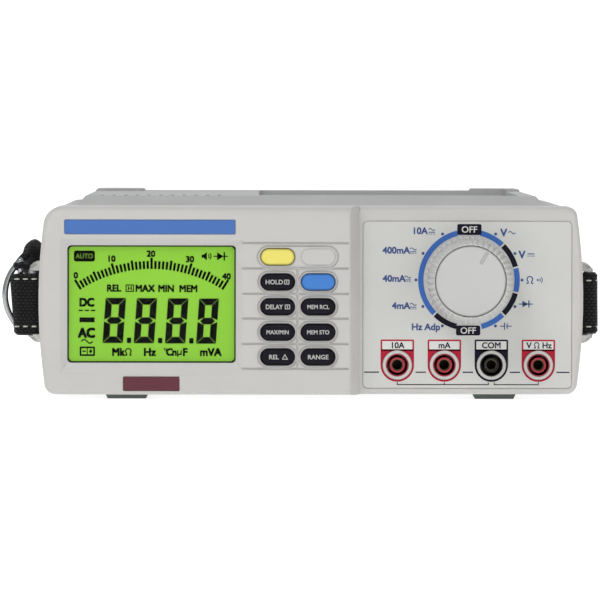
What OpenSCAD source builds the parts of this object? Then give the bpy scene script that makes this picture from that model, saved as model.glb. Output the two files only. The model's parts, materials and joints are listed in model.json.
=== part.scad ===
// Bench multimeter on four feet: a display and keypad face on the left, a dial
// panel with four test-lead sockets on the right, and a webbing carry strap.
// X runs to the right, Y runs from the front face to the rear, Z is up.
// The origin is on the table, at the centre of the whole object's outline.

/* [Case] */
// Widest width of the front bezel, at mid height
case_w = 220; // [219:0.5:221]
// Depth from the display face to the rear edge of the covers
case_d = 242; // [240:1:248]
// Height of the shoulders of the case above the table
shoulder_z = 79; // [78.5:0.5:80]
// Height of the flat top deck above the table
deck_z = 82.7; // [82.5:0.1:84]
// Height of the underside of the case above the table
foot_h = 3; // [2.8:0.1:3]
// Outward bow of the sides over their height
side_bow = 3; // [2.5:0.25:3.5]
// Wall thickness of the covers
wall = 2.4; // [2.2:0.1:2.5]
// Depth of the front bezel moulding
bezel_d = 32; // [31:0.5:33]
// How far the dial panel stands behind the display face
panel_step = 8; // [8:0.1:8.2]
// Height of the seam between the two covers
seam_z = 41; // [40:0.5:42]

/* [Display] */
// Left edge of the window
win_x0 = -98.3; // [-98.5:0.1:-98]
// Right edge of the window
win_x1 = -30.5; // [-30.8:0.1:-30.3]
// Lower edge of the window
win_z0 = 15.9; // [15.7:0.1:16.1]
// Upper edge of the window
win_z1 = 63.2; // [63:0.1:63.4]

/* [Keypad] */
// Width of one button
btn_w = 13.5; // [13:0.1:13.6]
// Height of one button
btn_h = 6.4; // [6:0.1:6.5]
// Travel of one button
btn_travel = 1.2; // [1:0.1:1.2]
// Clearance round each button in its hole
btn_gap = 0.3; // [0.2:0.05:0.35]

/* [Dial] */
// Distance of the dial's axis to the right of the case's centre line
dial_x = 63.7; // [63.5:0.1:64]
// Height of the dial's axis above the table
dial_z = 49.3; // [49:0.1:49.5]
// Outer radius of the knob
knob_r = 17.7; // [17.4:0.1:17.9]
// How far the knob stands out of the dial panel
knob_out = 22; // [20:0.5:24]
// Number of flutes round the knob
flutes = 44; // [36:4:48]

/* [Sockets] */
// Spacing of the test-lead sockets
jack_pitch = 19; // [19:0.1:19.1]
// Height of the sockets above the table
jack_z = 14.9; // [14.8:0.1:15]
// Bore radius of a socket's contact
jack_r = 2.0; // [2:0.01:2.02]
// Length of a socket's contact
jack_len = 22; // [20:1:24]

/* [Strap] */
// Width of the webbing
web_w = 25.4; // [25:0.2:25.6]
// Thickness of the webbing
web_t = 2; // [1.8:0.1:2]
// Height of the middle of the strap lugs above the table
lug_z = 39; // [39:0.1:39.2]
// Distance of the strap pins behind the display face
pin_y = 45; // [44:0.5:46]

/* [Hidden] */
$fn = 48;

// Webbing and lugs
lug_x = 109;                       // face of the lug's base
loop_x = 113.8;                    // axis of the strap pins
loop_r = 2;                        // inner radius of a webbing fold
pin_r = 1.8;
ring_x = 118.8;                    // straight bar of the strap ring
ring_bow = 6.3;                    // bulge of the ring's curved side
ring_wire = 1.2;                   // radius of the ring's wire
ribbon_t = web_t - 0.1;            // thickness of the long ribbon
rear_run_y = case_d + 2;           // middle of the ribbon behind the case

// Extent of the whole object, which centres it on the origin
left_out = ring_x + ring_bow + ring_wire;
right_out = loop_x + loop_r + web_t;
rear_out = rear_run_y + ribbon_t / 2;
knob_front = panel_step - knob_out;
place_x = (left_out - right_out) / 2;
place_y = -(rear_out + knob_front) / 2;

// Case outline
side_h = shoulder_z - foot_h;
side_mid = foot_h + side_h / 2;
side_R = side_h * side_h / (8 * side_bow) + side_bow / 2;
side_c = case_w / 2 - side_R;      // centre of the right side's arc
corner_r = 4.5;
top_left_r = 8;
cover_in = 0.6;                    // covers stand this far inside the bezel
hollow_in = cover_in + wall;

// Layout shared by several pieces
col_x = [-13.6, 2.7];              // button columns
row_z = [58.7, 48.6, 38.6, 28.4, 18.4];
blank = [1, 0];                    // column and row without a button
buttons = [for (i = [0, 1], j = [0:4]) if ([i, j] != blank) [col_x[i], row_z[j]]];
jacks = [for (i = [-1.5:1:1.5]) [63.3 + i * jack_pitch, jack_z]];
display_screws = [for (x = [-103, -30, 10], z = [10, 69]) [x, z]];
main_screws = [for (x = [24, 101], z = [30, 70]) [x, z]];
pillars = [for (x = [-98, 98], y = [48, 226]) [x, y]];       // of the covers
standoffs = [for (x = [-84, 14], y = [68, 212]) [x, y]];     // of the power board
board_t = 1.6;
display_board_y = 13;              // front faces of the two upright boards
main_board_y = 22;
power_board_z = 12;                // underside of the power board
part_gap = 0.05;                   // air between a board and what sits on it
display_shank_y = 7;               // front ends of the board screws
main_shank_y = 13;
power_part_z = power_board_z + board_t + part_gap;
main_part_y = main_board_y + board_t + part_gap;

case_grey = [0.80, 0.80, 0.78];
foot_grey = [0.35, 0.37, 0.38];
board_green = [0.1, 0.42, 0.22];
button_black = [0.09, 0.09, 0.12];
steel = [0.75, 0.76, 0.78];

module place() translate([place_x, place_y, 0]) children();

// Front outline of the case as a list of points, moved in by a side, top and
// bottom inset. The sides are shallow arcs and the corners are round.
function arc_points(x, z, radius, from, to, steps) =
  [for (k = [0:steps]) let (angle = from + (to - from) * k / steps)
    [x + radius * cos(angle), z + radius * sin(angle)]];
// Where a corner arc centred at height z meets the side arc
function side_angle(z, radius, inset) = asin((z - side_mid) / (side_R - inset - radius));
function corner_x(z, radius, inset) =
  side_c + sqrt(pow(side_R - inset - radius, 2) - pow(z - side_mid, 2));
function outline(side, top, bottom) = let (
    small = max(corner_r - side, 1), large = max(top_left_r - side, 1),
    low_z = foot_h + bottom + small,
    right_z = shoulder_z - top - small,
    left_z = shoulder_z - top - large,
    low = side_angle(low_z, small, side),
    right = side_angle(right_z, small, side),
    left = side_angle(left_z, large, side),
    low_x = corner_x(low_z, small, side))
  concat(
    arc_points(low_x, low_z, small, -90, low, 6),
    arc_points(side_c, side_mid, side_R - side, low * 0.8, right * 0.8, 7),
    arc_points(corner_x(right_z, small, side), right_z, small, right, 90, 6),
    arc_points(-corner_x(left_z, large, side), left_z, large, 90, 180 - left, 8),
    arc_points(-side_c, side_mid, side_R - side, 180 - left * 0.8, 180 - low * 0.8, 7),
    arc_points(-low_x, low_z, small, 180 - low, 270, 6));

// Extrude an XZ drawing along +Y from y0 to y1
module along_y(y0, y1)
  translate([0, y0, 0]) rotate([90, 0, 0]) mirror([0, 0, 1])
    linear_extrude(y1 - y0) children();
// Extrude a YZ drawing along +X
module along_x(x0, x1)
  translate([x0, 0, 0]) rotate([90, 0, 90]) linear_extrude(x1 - x0) children();
// Cylinders along +X, +Y and +Z
module rod_x(y, z, radius, x0, x1, facets = 48)
  translate([x0, y, z]) rotate([0, 90, 0])
    cylinder(h = x1 - x0, r = radius, $fn = facets);
module rod_y(x, z, radius, y0, y1, facets = 48)
  translate([x, y0, z]) rotate([-90, 0, 0])
    cylinder(h = y1 - y0, r = radius, $fn = facets);
module rod_z(x, y, radius, z0, z1, facets = 48)
  translate([x, y, z0]) cylinder(h = z1 - z0, r = radius, $fn = facets);
// The same at each place of a list of [x, z] or [x, y]
module rods_y(places, radius, y0, y1, facets = 48)
  for (at = places) rod_y(at[0], at[1], radius, y0, y1, facets);
module rods_z(places, radius, z0, z1)
  for (at = places) rod_z(at[0], at[1], radius, z0, z1);
module box(x0, x1, y0, y1, z0, z1)
  translate([x0, y0, z0]) cube([x1 - x0, y1 - y0, z1 - z0]);
// Box centred on x, y
module block(x, y, width, depth, z0, z1)
  box(x - width / 2, x + width / 2, y - depth / 2, y + depth / 2, z0, z1);
// Box centred on x, z
module slab(x, z, width, height, y0, y1)
  box(x - width / 2, x + width / 2, y0, y1, z - height / 2, z + height / 2);
// Rounded rectangle from straight and round pieces
module rounded_rect(x0, x1, z0, z1, radius) {
  translate([x0 + radius, z0]) square([x1 - x0 - 2 * radius, z1 - z0]);
  translate([x0, z0 + radius]) square([x1 - x0, z1 - z0 - 2 * radius]);
  for (x = [x0 + radius, x1 - radius], z = [z0 + radius, z1 - radius])
    translate([x, z]) circle(r = radius, $fn = 32);
}
// Rounded rectangle centred on x, z
module pad(x, z, width, height, radius)
  rounded_rect(x - width / 2, x + width / 2, z - height / 2, z + height / 2, radius);
// Stadium outline centred on x, z
module stadium(x, z, width, height) {
  straight = width - height;
  translate([x - straight / 2, z - height / 2]) square([straight, height]);
  for (side = [-1, 1])
    translate([x + side * straight / 2, z]) circle(r = height / 2, $fn = 48);
}
// Level layer wider and deeper than the case
module layer(z0, z1) box(-130, 130, 0, 300, z0, z1);

// ---------------------------------------------------------------- front
// Seats sunk in the front: [x0, x1, z0, z1, corner radius]
title_seat = [-99.5, -30.6, 67.7, 73.6, 0.6];
badge_seat = [-75.8, -53.1, 4.6, 10.4, 0.5];
overlay_seat = [20.8, 105.3, 5.4, 73.1, 2];
seat_gap = 0.1;                    // clearance round a plate in its seat
seat_y = 0.4;
overlay_y = panel_step + 0.5;      // floor of the overlay's seat
collar_r = 5.9;                    // collars round the sockets
display_hollow_x = 13.6;           // right end of the hollow behind the display
groove_z = [64.2, 54, 43.8, 33.8, 23.6, 13.6];
groove_w = 0.7;
// Right edge of the display face in plan: [x, y]
face_edge = [[14.6, -1], [14.6, 0], [15.4, 0.15], [16, 0.6], [16.4, 1.4],
  [19.3, panel_step], [19.3, panel_step + 2]];

module seat_rect(seat, inset = 0)
  rounded_rect(seat[0] + inset, seat[1] - inset, seat[2] + inset, seat[3] - inset,
               seat[4] - inset);

// Case-shaped block from y0 to y1 with a rounded front edge
module rounded_block(y0, top_r, y1) hull() {
  side_r = 2.2;
  bottom_r = 1.2;
  for (angle = [0, 22.5, 45, 67.5, 90]) {
    slice_y = y0 + top_r * (1 - cos(angle));
    inset = 1 - sin(angle);
    along_y(slice_y, slice_y + 0.02)
      polygon(outline(side_r * inset, top_r * inset, bottom_r * inset));
  }
  along_y(y1 - 0.02, y1) polygon(outline(0, 0, 0));
}

module display_hollow(y0, y1, side, top, bottom) along_y(y0, y1) intersection() {
  polygon(outline(side, top, bottom));
  translate([-130, 0]) square([130 + display_hollow_x, 120]);
}

// Hollow of the bezel, less the bosses that carry the display and main boards
module bezel_hollow() difference() {
  union() {
    display_hollow(2.5, 6, 3, 5, 2.6);
    display_hollow(6, panel_step + 2.6, 2.6, 2.6, 2.6);
    along_y(panel_step + 2.5, bezel_d + 1) polygon(outline(2.6, 2.8, 2.6));
  }
  rods_y(display_screws, 2.6, 2, bezel_d + 2);
  rods_y(main_screws, 2.8, panel_step + 2, bezel_d + 2);
}

// Screw holes of a set of bosses, and the cut that ends the bosses at the board
module boss_cuts(places, boss_r, board_y, shank_y) {
  rods_y(places, 1.25, shank_y - 1, board_y + 1);
  rods_y(places, boss_r + 0.1, board_y - 0.1, bezel_d + 1);
}

// Sunk bevel round the window, cut as two crossing wedges
module window_bevel() intersection() {
  translate([0, 0, win_z0 - 6]) linear_extrude(win_z1 - win_z0 + 12)
    polygon([[win_x0 - 4.5, -1], [win_x0 - 2.9, 0], [win_x0, 2], [win_x1, 2],
             [win_x1 + 2.9, 0], [win_x1 + 4.5, -1]]);
  along_x(win_x0 - 6, win_x1 + 6)
    polygon([[-1, win_z0 - 6.4], [0, win_z0 - 4.3], [2, win_z0], [2, win_z1],
             [0, win_z1 + 2.6], [-1, win_z1 + 3.9]]);
}

// Sunk line round a button
module button_line(x, z, width) {
  height = 9.2;
  line_w = 0.5;
  along_y(-1, seat_y) difference() {
    stadium(x, z, width, height);
    stadium(x, z, width - 2 * line_w, height - 2 * line_w);
  }
}

module front_bezel() place() color(case_grey) difference() {
  union() {
    rounded_block(panel_step, 3, bezel_d);
    intersection() {
      rounded_block(0, 3.8, panel_step + 1);
      linear_extrude(120)
        polygon(concat([[-130, -1]], face_edge, [[-130, panel_step + 2]]));
    }
    rods_y(jacks, collar_r, panel_step - 0.5, panel_step + 3, 64);
    // Blank pad beside the yellow button
    along_y(-0.5, 1) stadium(col_x[blank[0]], row_z[blank[1]], btn_w, btn_h);
  }
  bezel_hollow();
  window_bevel();
  along_y(1.5, 3) rounded_rect(win_x0, win_x1, win_z0, win_z1, 1.6);
  along_y(-1, seat_y) seat_rect(title_seat);
  along_y(-1, seat_y) seat_rect(badge_seat);
  // Fine grooves between the rows of buttons, and one between the columns
  for (z = groove_z) box(-28, 14.9, -1, 0.45, z - groove_w / 2, z + groove_w / 2);
  box(-5.95, -5.25, -1, 0.45, groove_z[5], groove_z[1]);
  for (x = col_x, j = [1:4]) button_line(x, row_z[j], 16.2);
  button_line((col_x[0] + col_x[1]) / 2, row_z[0], 33);
  // Button holes
  for (at = buttons)
    along_y(-1, 4) stadium(at[0], at[1], btn_w + 2 * btn_gap, btn_h + 2 * btn_gap);
  // Seat of the printed overlay, leaving the collars
  difference() {
    along_y(panel_step - 2, overlay_y) seat_rect(overlay_seat);
    rods_y(jacks, collar_r, panel_step - 3, panel_step + 3, 64);
  }
  // Holes for the selector shaft and the sockets
  rod_y(dial_x, dial_z, 3.6, 0, 20);
  rods_y(jacks, 4.62, 0, 20, 64);
  boss_cuts(display_screws, 2.6, display_board_y, display_shank_y);
  boss_cuts(main_screws, 2.8, main_board_y, main_shank_y);
}

module title_strip() place() color([0.20, 0.42, 0.78])
  along_y(-0.1, seat_y) seat_rect(title_seat, seat_gap);

module badge_plate() place() color([0.45, 0.07, 0.16])
  along_y(-0.2, seat_y) seat_rect(badge_seat, seat_gap);

module panel_overlay() place() color([0.84, 0.84, 0.82]) difference() {
  along_y(overlay_y - 0.4, overlay_y) seat_rect(overlay_seat, seat_gap);
  rod_y(dial_x, dial_z, 4, 0, 20);
  rods_y(jacks, collar_r + 0.1, 0, 20, 64);
}

// ---------------------------------------------------------------- display
// Box of the window's outline, grown on all four edges
module window_box(grow, y0, y1)
  box(win_x0 - grow, win_x1 + grow, y0, y1, win_z0 - grow, win_z1 + grow);

module lcd_window() place() color([0.85, 0.9, 0.85, 0.35])
  along_y(2.55, 3.9)
    rounded_rect(win_x0 - 2, win_x1 + 2, win_z0 - 1.8, win_z1 + 1.8, 1);

// Two panes, the rear one shorter at the top
module lcd_glass() place() color([0.62, 0.84, 0.25]) {
  window_box(1, 4.4, 5.5);
  box(win_x0 - 1, win_x1 + 1, 5.5, 6.6, win_z0 - 1, win_z1 - 1.5);
}

module lcd_backlight() place() color([0.95, 0.97, 0.9]) window_box(1, 6.8, 9.8);

// Tray round the glass and backlight, with an open back
module lcd_holder() place() color([0.9, 0.9, 0.88]) difference() {
  window_box(2.6, 4, 12.8);
  window_box(1.1, 3, 10);
  window_box(-4, 9, 14);
}

module display_board() place() color(board_green) difference() {
  box(-104.5, 14, display_board_y, display_board_y + board_t, 7.5, 71.5);
  rods_y(display_screws, 1.5, display_board_y - 1, display_board_y + 3);
  // The left screw holes are open to the board's edge
  for (z = [10, 69]) box(-106, -103, 12, 16, z - 1.5, z + 1.5);
}

// ---------------------------------------------------------------- keypad
dome_y = 8.6;                      // front of the mat's domes

// Silicone sheet whose hollow domes stand just clear of the buttons
module keypad_mat() place() color([0.55, 0.57, 0.6]) difference() {
  union() {
    box(-23.5, 12.5, 11.4, display_board_y - part_gap, 13.5, 63.5);
    rods_y(buttons, 2.6, dome_y, 12);
  }
  rods_y(buttons, 1.8, dome_y + 1, 14);
}

module button(column, row) {
  x = col_x[column];
  z = row_z[row];
  // Cap with a softly stepped front edge
  along_y(-1.4, -1.1) stadium(x, z, btn_w - 1.0, btn_h - 1.0);
  along_y(-1.1, -0.7) stadium(x, z, btn_w - 0.4, btn_h - 0.4);
  along_y(-0.7, 4) stadium(x, z, btn_w, btn_h);
  // Collar behind the bezel and plunger towards the dome
  along_y(2.8, 3.8) pad(x, z, 15.4, 8.2, 1.5);
  rod_y(x, z, 2, 3.5, dome_y - btn_travel - 0.1);
}
module button_yellow() place() color([0.93, 0.88, 0.42]) button(0, 0);
module button_blue() place() color([0.24, 0.5, 0.82]) button(1, 1);
module button_hold() place() color(button_black) button(0, 1);
module button_delay() place() color(button_black) button(0, 2);
module button_maxmin() place() color(button_black) button(0, 3);
module button_relative() place() color(button_black) button(0, 4);
module button_recall() place() color(button_black) button(1, 2);
module button_store() place() color(button_black) button(1, 3);
module button_range() place() color(button_black) button(1, 4);

// ---------------------------------------------------------------- selector
positions = 12;                    // detents round the dial
shaft_r = 2.98;
rotor_y = [14, 19];                // front and rear of the rotor
detent_r = 1.5;                    // radius of the balls

// Turn about the dial's axis
module on_dial(angle = 0)
  translate([dial_x, 0, dial_z]) rotate([0, angle, 0]) children();

// Turned shape about the dial's axis: points are [radius, distance behind the
// display face]
module dial_turn(points)
  translate([dial_x, 0, dial_z]) rotate([-90, 0, 0]) rotate_extrude($fn = 96)
    polygon(points);

// Both detents, above and below the axis, at mid depth of the rotor
module on_detents(radius)
  for (angle = [0, 180]) on_dial(angle)
    translate([0, (rotor_y[0] + rotor_y[1]) / 2, radius]) children();

// Fluted ring with a hub, open at the back
module selector_knob() place() color([0.83, 0.83, 0.81]) difference() {
  dial_turn([[3, knob_front + 3], [14.4, knob_front + 3], [14.4, knob_front + 0.5],
    [15.4, knob_front], [16.7, knob_front], [17.3, knob_front + 0.35],
    [knob_r, knob_front + 1.2], [knob_r, panel_step - 0.4], [16.2, panel_step - 0.4],
    [15.2, knob_front + 6], [6, knob_front + 6], [6, panel_step - 0.2],
    [3, panel_step - 0.2]]);
  for (k = [0:flutes - 1]) on_dial((k + 0.5) * 360 / flutes)
    rod_y(0, knob_r + 0.25, 0.8, knob_front - 1, panel_step - 1.6, 20);
}

module knob_cap() place() color([0.86, 0.86, 0.85]) difference() {
  dial_turn([[0, knob_front + 2.95], [14.2, knob_front + 2.95],
    [14.2, knob_front + 0.9], [13.6, knob_front + 0.35], [0, knob_front + 0.35]]);
  // Pointer groove, set to the first position to the right of the top
  on_dial(360 / positions) box(-0.6, 0.6, knob_front, knob_front + 0.8, 8.2, 13.2);
}

module selector_shaft() place() color(steel)
  rod_y(dial_x, dial_z, shaft_r, knob_front + 3.05, 21.5);

module switch_rotor() place() color([0.92, 0.92, 0.9]) difference() {
  rod_y(dial_x, dial_z, 20, rotor_y[0], rotor_y[1], 96);
  rod_y(dial_x, dial_z, shaft_r + 0.02, 13, 20);
  on_detents(13) cylinder(r = detent_r + 0.1, h = 8);
}

// Bent strips on the rear of the rotor, drawn as [sideways, y]
module rotor_wipers() place() color([0.85, 0.65, 0.3])
  for (angle = [45, 165, 285], radius = [8.5, 12, 15.5]) on_dial(angle)
    translate([-2.6, 0, radius - 0.8]) linear_extrude(1.6)
      polygon([[0, 19], [1.2, 19], [1.4, 19.3], [4.2, 21.4], [5.2, 21.2], [5.3, 21.5],
               [4.2, 21.8], [1.2, 19.6], [0, 19.35]]);

module detent_balls() place() color([0.8, 0.82, 0.84])
  on_detents(19.8) sphere(r = detent_r, $fn = 32);

// Each spring is a stack of four separate rings
module detent_springs() place() color([0.7, 0.72, 0.75])
  for (k = [0:3]) on_detents(13.4 + k * 1.2)
    rotate_extrude($fn = 24) translate([1.1, 0]) circle(r = 0.3, $fn = 16);

// Cup round the rotor, with a ring of notches for the balls
module switch_housing() place() color([0.2, 0.2, 0.22]) difference() {
  rod_y(dial_x, dial_z, 24.2, 12.2, main_board_y - part_gap, 96);
  rod_y(dial_x, dial_z, 21.4, 13.6, 30, 96);
  rod_y(dial_x, dial_z, 3.6, 10, 30);
  for (k = [0:positions - 1]) on_dial(k * 360 / positions)
    rod_y(0, 20.8, 2.1, 14.2, 30);
}

// ---------------------------------------------------------------- main board
module main_board() place() color(board_green) difference() {
  box(21, 104, main_board_y, main_board_y + board_t, 7, 72.5);
  rods_y(jacks, 5.7, 20, 25);
  rods_y(main_screws, 1.5, 20, 25);
}

// Square chips: [x, z, size]
chips = [[34, 44, 14], [62, 50, 10], [84, 40, 8], [84, 60, 8]];
module main_chips() place() color([0.12, 0.12, 0.13])
  for (chip = chips) slab(chip[0], chip[1], chip[2], chip[2], main_part_y, 25.8);

// Cable from the display board to the main board, drawn in plan as [x, y]
module ribbon_cable() place() color([0.62, 0.64, 0.66])
  translate([0, 0, 34]) linear_extrude(16)
    polygon([[4, 14.7], [7, 14.7], [7, 24], [11, 28.5], [22, 28.5], [24.6, 26],
             [24.6, 23.7], [25.8, 23.7], [25.8, 26.6], [22.8, 29.7], [10.4, 29.7],
             [5.8, 24.8], [5.8, 15.9], [4, 15.9]]);

// ---------------------------------------------------------------- sockets
contact_y = panel_step + 2.9;      // front of the contacts
contact_r = 2.5;                   // outer radius of a contact

module jack_bodies(places) difference() {
  union() {
    rods_y(places, 4.6, panel_step - 0.3, 36, 64);
    rods_y(places, 5.6, panel_step + 2.6, panel_step + 6, 64);
  }
  // Ring gap for the shroud of the plug
  difference() {
    rods_y(places, 4.15, panel_step - 2, 30, 64);
    rods_y(places, 3.1, panel_step - 3, 31, 64);
  }
  rods_y(places, jack_r + 0.35, 0, panel_step + 2.85, 64);
  rods_y(places, contact_r + 0.05, panel_step + 2.8, 37, 64);
}
module jack_bodies_red() place() color([0.78, 0.12, 0.16])
  jack_bodies([jacks[0], jacks[1], jacks[3]]);
module jack_body_black() place() color([0.06, 0.06, 0.07]) jack_bodies([jacks[2]]);

// Bored rods with a flat tail at the rear
module jack_contacts() place() color([0.85, 0.72, 0.42]) difference() {
  tail_y = panel_step + jack_len + 6.5;
  union() {
    rods_y(jacks, contact_r, contact_y, contact_y + jack_len + 4, 64);
    for (at = jacks) slab(at[0], at[1], 2, 0.8, tail_y, tail_y + 4.5);
  }
  rods_y(jacks, jack_r, panel_step, contact_y + jack_len, 64);
}

// ---------------------------------------------------------------- power board
capacitor_table = [                // [x, y, radius, height]
  [-10, 150, 8, 26], [-10, 172, 6.3, 20], [-10, 190, 5, 16], [-70, 90, 5, 14]];
fuse_table = [[84, 3.15, 32], [102, 5.1, 38]];   // [y, radius, length]
fuse_x = -40;
fuse_z = 21;
coil_x = -60;                      // centre of the transformer
coil_y = 162;

module power_board() place() color(board_green) difference() {
  box(-90, 22, 62, 218, power_board_z, power_board_z + board_t);
  rods_z(standoffs, 1.7, 10, 15);
}

// Cans with a slightly narrower raised top
module capacitors() place() color([0.15, 0.2, 0.35])
  for (can = capacitor_table) translate([can[0], can[1], power_part_z]) {
    cylinder(r = can[2], h = can[3]);
    cylinder(r = can[2] - 0.5, h = can[3] + 0.4);
  }

// Centre of a fuse's end cap; side is -1 or 1
function fuse_end(side, length) = fuse_x + side * (length / 2 - 3);

module fuses() place() color([0.93, 0.92, 0.88])
  for (fuse = fuse_table) {
    y = fuse[0];
    radius = fuse[1];
    core = fuse[2] / 2 - 6;
    rod_x(y, fuse_z, radius - 0.25, fuse_x - core, fuse_x + core);
    for (side = [-1, 1]) {
      end_x = fuse_end(side, fuse[2]);
      rod_x(y, fuse_z, radius, end_x - 3, end_x + 3);
    }
  }

// U-shaped clips, open at the top
module fuse_clips() place() color([0.8, 0.8, 0.78])
  for (fuse = fuse_table, side = [-1, 1]) {
    y = fuse[0];
    radius = fuse[1];
    difference() {
      block(fuse_end(side, fuse[2]), y, 4.8, 2 * radius + 1.4, power_part_z, 24);
      rod_x(y, fuse_z, radius + 0.05, -80, 0);
      block(fuse_x, y, 80, 2 * radius + 0.1, fuse_z, 30);
      block(fuse_x, y, 80, 2 * radius - 0.4, 14.2, fuse_z);
    }
  }

module buzzer() place() color([0.08, 0.08, 0.09]) difference() {
  rod_z(-10, 90, 8, power_part_z, power_part_z + 6.5);
  rod_z(-10, 90, 1.2, 18, 23);
}

// Core with a window on each side of its middle limb
module transformer_core() place() color([0.35, 0.36, 0.4]) difference() {
  block(coil_x, coil_y, 48, 24, 13.62, 54);
  for (side = [-1, 1]) block(coil_x + side * 11, coil_y, 10, 26, 22, 46);
}

module transformer_coil() place() color([0.8, 0.62, 0.2]) difference() {
  block(coil_x, coil_y, 31.6, 40, 22.2, 45.8);
  block(coil_x, coil_y, 12.3, 24.3, 21, 47);
}

// ---------------------------------------------------------------- battery
battery_x = 56.1;                  // centre of the cells, holder and door
battery_y = 145;
cell_pitch = 15;
cell_z = 14.4;
cell_y = [for (k = [-2.5:1:2.5]) battery_y + k * cell_pitch];
bay_w = 52.6;                      // hollow of the holder
bay_d = len(cell_y) * cell_pitch;
bay_wall = 1.4;
latch_x = 56;                      // middle of the door's tongue
floor_z = foot_h + wall;           // upper side of the bottom cover
opening_w = 58.2;                  // door opening in the bottom cover
opening_d = 96;
door_gap = 0.3;

module battery_cells() place() color([0.75, 0.72, 0.3])
  for (y = cell_y) {
    rod_x(y, cell_z, 7.05, 31.5, 80.2);
    rod_x(y, cell_z, 2.7, 80, 81.2);
  }

// Box open below, on a wide flange
module battery_holder() place() color([0.1, 0.1, 0.11]) difference() {
  union() {
    block(battery_x, battery_y, bay_w + 2 * bay_wall, bay_d + 2 * bay_wall, 5.6,
          22 + bay_wall);
    box(23.5, 88.7, 99.5, 196, floor_z + 0.05, floor_z + 1.4);
  }
  block(battery_x, battery_y, bay_w, bay_d, 5, 22);
  box(49, 63, 98, 100.2, 5, 7.6);
}

module battery_contacts() place() color([0.8, 0.81, 0.82])
  for (y = cell_y) {
    rod_x(y, cell_z, 4.5, 29.85, 30.25, 24);
    rod_x(y, cell_z, 2, 30.2, 31.45, 24);
    rod_x(y, cell_z, 4.5, 81.3, 82.35, 24);
  }

module battery_door() place() color([0.76, 0.76, 0.74]) difference() {
  door_w = opening_w - 2 * door_gap;
  door_d = opening_d - 2 * door_gap;
  front_y = battery_y - door_d / 2;
  tongue_top = floor_z + 1.2;
  union() {
    block(battery_x, battery_y, door_w, door_d, foot_h, foot_h + 1.9);
    // Stepped tongue over the front edge of the opening
    box(latch_x - 6, latch_x + 6, 94.6, 98.4, floor_z + 0.15, tongue_top);
    box(latch_x - 6, latch_x + 6, front_y, 98.4, foot_h, tongue_top);
    // Hinge bead under the front edge
    rod_x(97, foot_h, 0.9, latch_x - 6, latch_x + 6, 32);
  }
  // Grip grooves
  for (k = [0:4])
    box(latch_x - 10, latch_x + 10, 178 + 2.6 * k, 179.2 + 2.6 * k,
        foot_h - 1, foot_h + 0.6);
}

// ---------------------------------------------------------------- covers
seam_gap = 0.15;                   // half of the gap between the covers
pillar_top = 76.45;
tray_x = [-21, 86];                // shallow tray in the deck
tray_y = [51, 221];
tray_z = deck_z - 2;               // floor of the tray
tray_rim = 3;                      // solid deck left round the tray

// Raised deck with sloped front and sides, its front and sides moved in by inset
module deck(inset, top_z, y0, y1) intersection() {
  low_z = shoulder_z - 1.5;
  half = 97 - inset;
  // The left side moves in by inset, like the right one
  along_y(y0, y1)
    polygon([[-half, 60], [-half, low_z], [5 - half, top_z], [half - 5, top_z],
             [half, low_z], [half, 60]]);
  front_y = bezel_d + 0.5 + inset;
  along_x(-100, 100)
    polygon([[front_y, 60], [front_y, low_z], [front_y + 8.5, top_z],
             [y1 + 1, top_z], [y1 + 1, 60]]);
}

// Round-ended slot along Y
module slot_cut(x, y0, y1, width, z0, z1) {
  box(x - width / 2, x + width / 2, y0, y1, z0, z1);
  for (y = [y0, y1]) rod_z(x, y, width / 2, z0, z1, 16);
}

module stacking_pad(x) intersection() {
  translate([x, 0, 0]) along_y(196, 236) rounded_rect(-10.5, 10.5, 70, deck_z + 1, 1);
  translate([x, 0, 60]) linear_extrude(60) rounded_rect(-10.5, 10.5, 196, 236, 3);
}

module top_cover() place() color([0.77, 0.77, 0.75]) {
  difference() {
    union() {
      intersection() {
        along_y(bezel_d + 0.05, case_d) polygon(outline(cover_in, cover_in, cover_in));
        layer(seam_z + seam_gap, 120);
      }
      deck(0, deck_z, bezel_d + 0.5, case_d);
      // Stacking pads at the rear corners
      for (side = [-1, 1]) stacking_pad(side * 81.5);
    }
    // Main hollow
    difference() {
      along_y(bezel_d - 1, case_d + 1) polygon(outline(hollow_in, hollow_in, hollow_in));
      layer(-5, seam_z - 1);
    }
    // Hollow under the deck, except under the tray
    difference() {
      deck(2.6, deck_z - 2.3, bezel_d + 3, case_d - 8);
      box(tray_x[0] - tray_rim, tray_x[1] + tray_rim,
          tray_y[0] - tray_rim, tray_y[1] + tray_rim, 78, 90);
    }
    translate([0, 0, tray_z]) linear_extrude(8)
      rounded_rect(tray_x[0], tray_x[1], tray_y[0], tray_y[1], 4);
    // Cooling slots
    for (k = [0:10]) slot_cut(-85.5 + 4.8 * k, 46, 70, 1.3, 70, 90);
  }
  // Screw pillars
  difference() {
    rods_z(pillars, 4, seam_z + seam_gap, pillar_top);
    rods_z(pillars, 1.5, seam_z - 1, seam_z + 19);
  }
}

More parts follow.
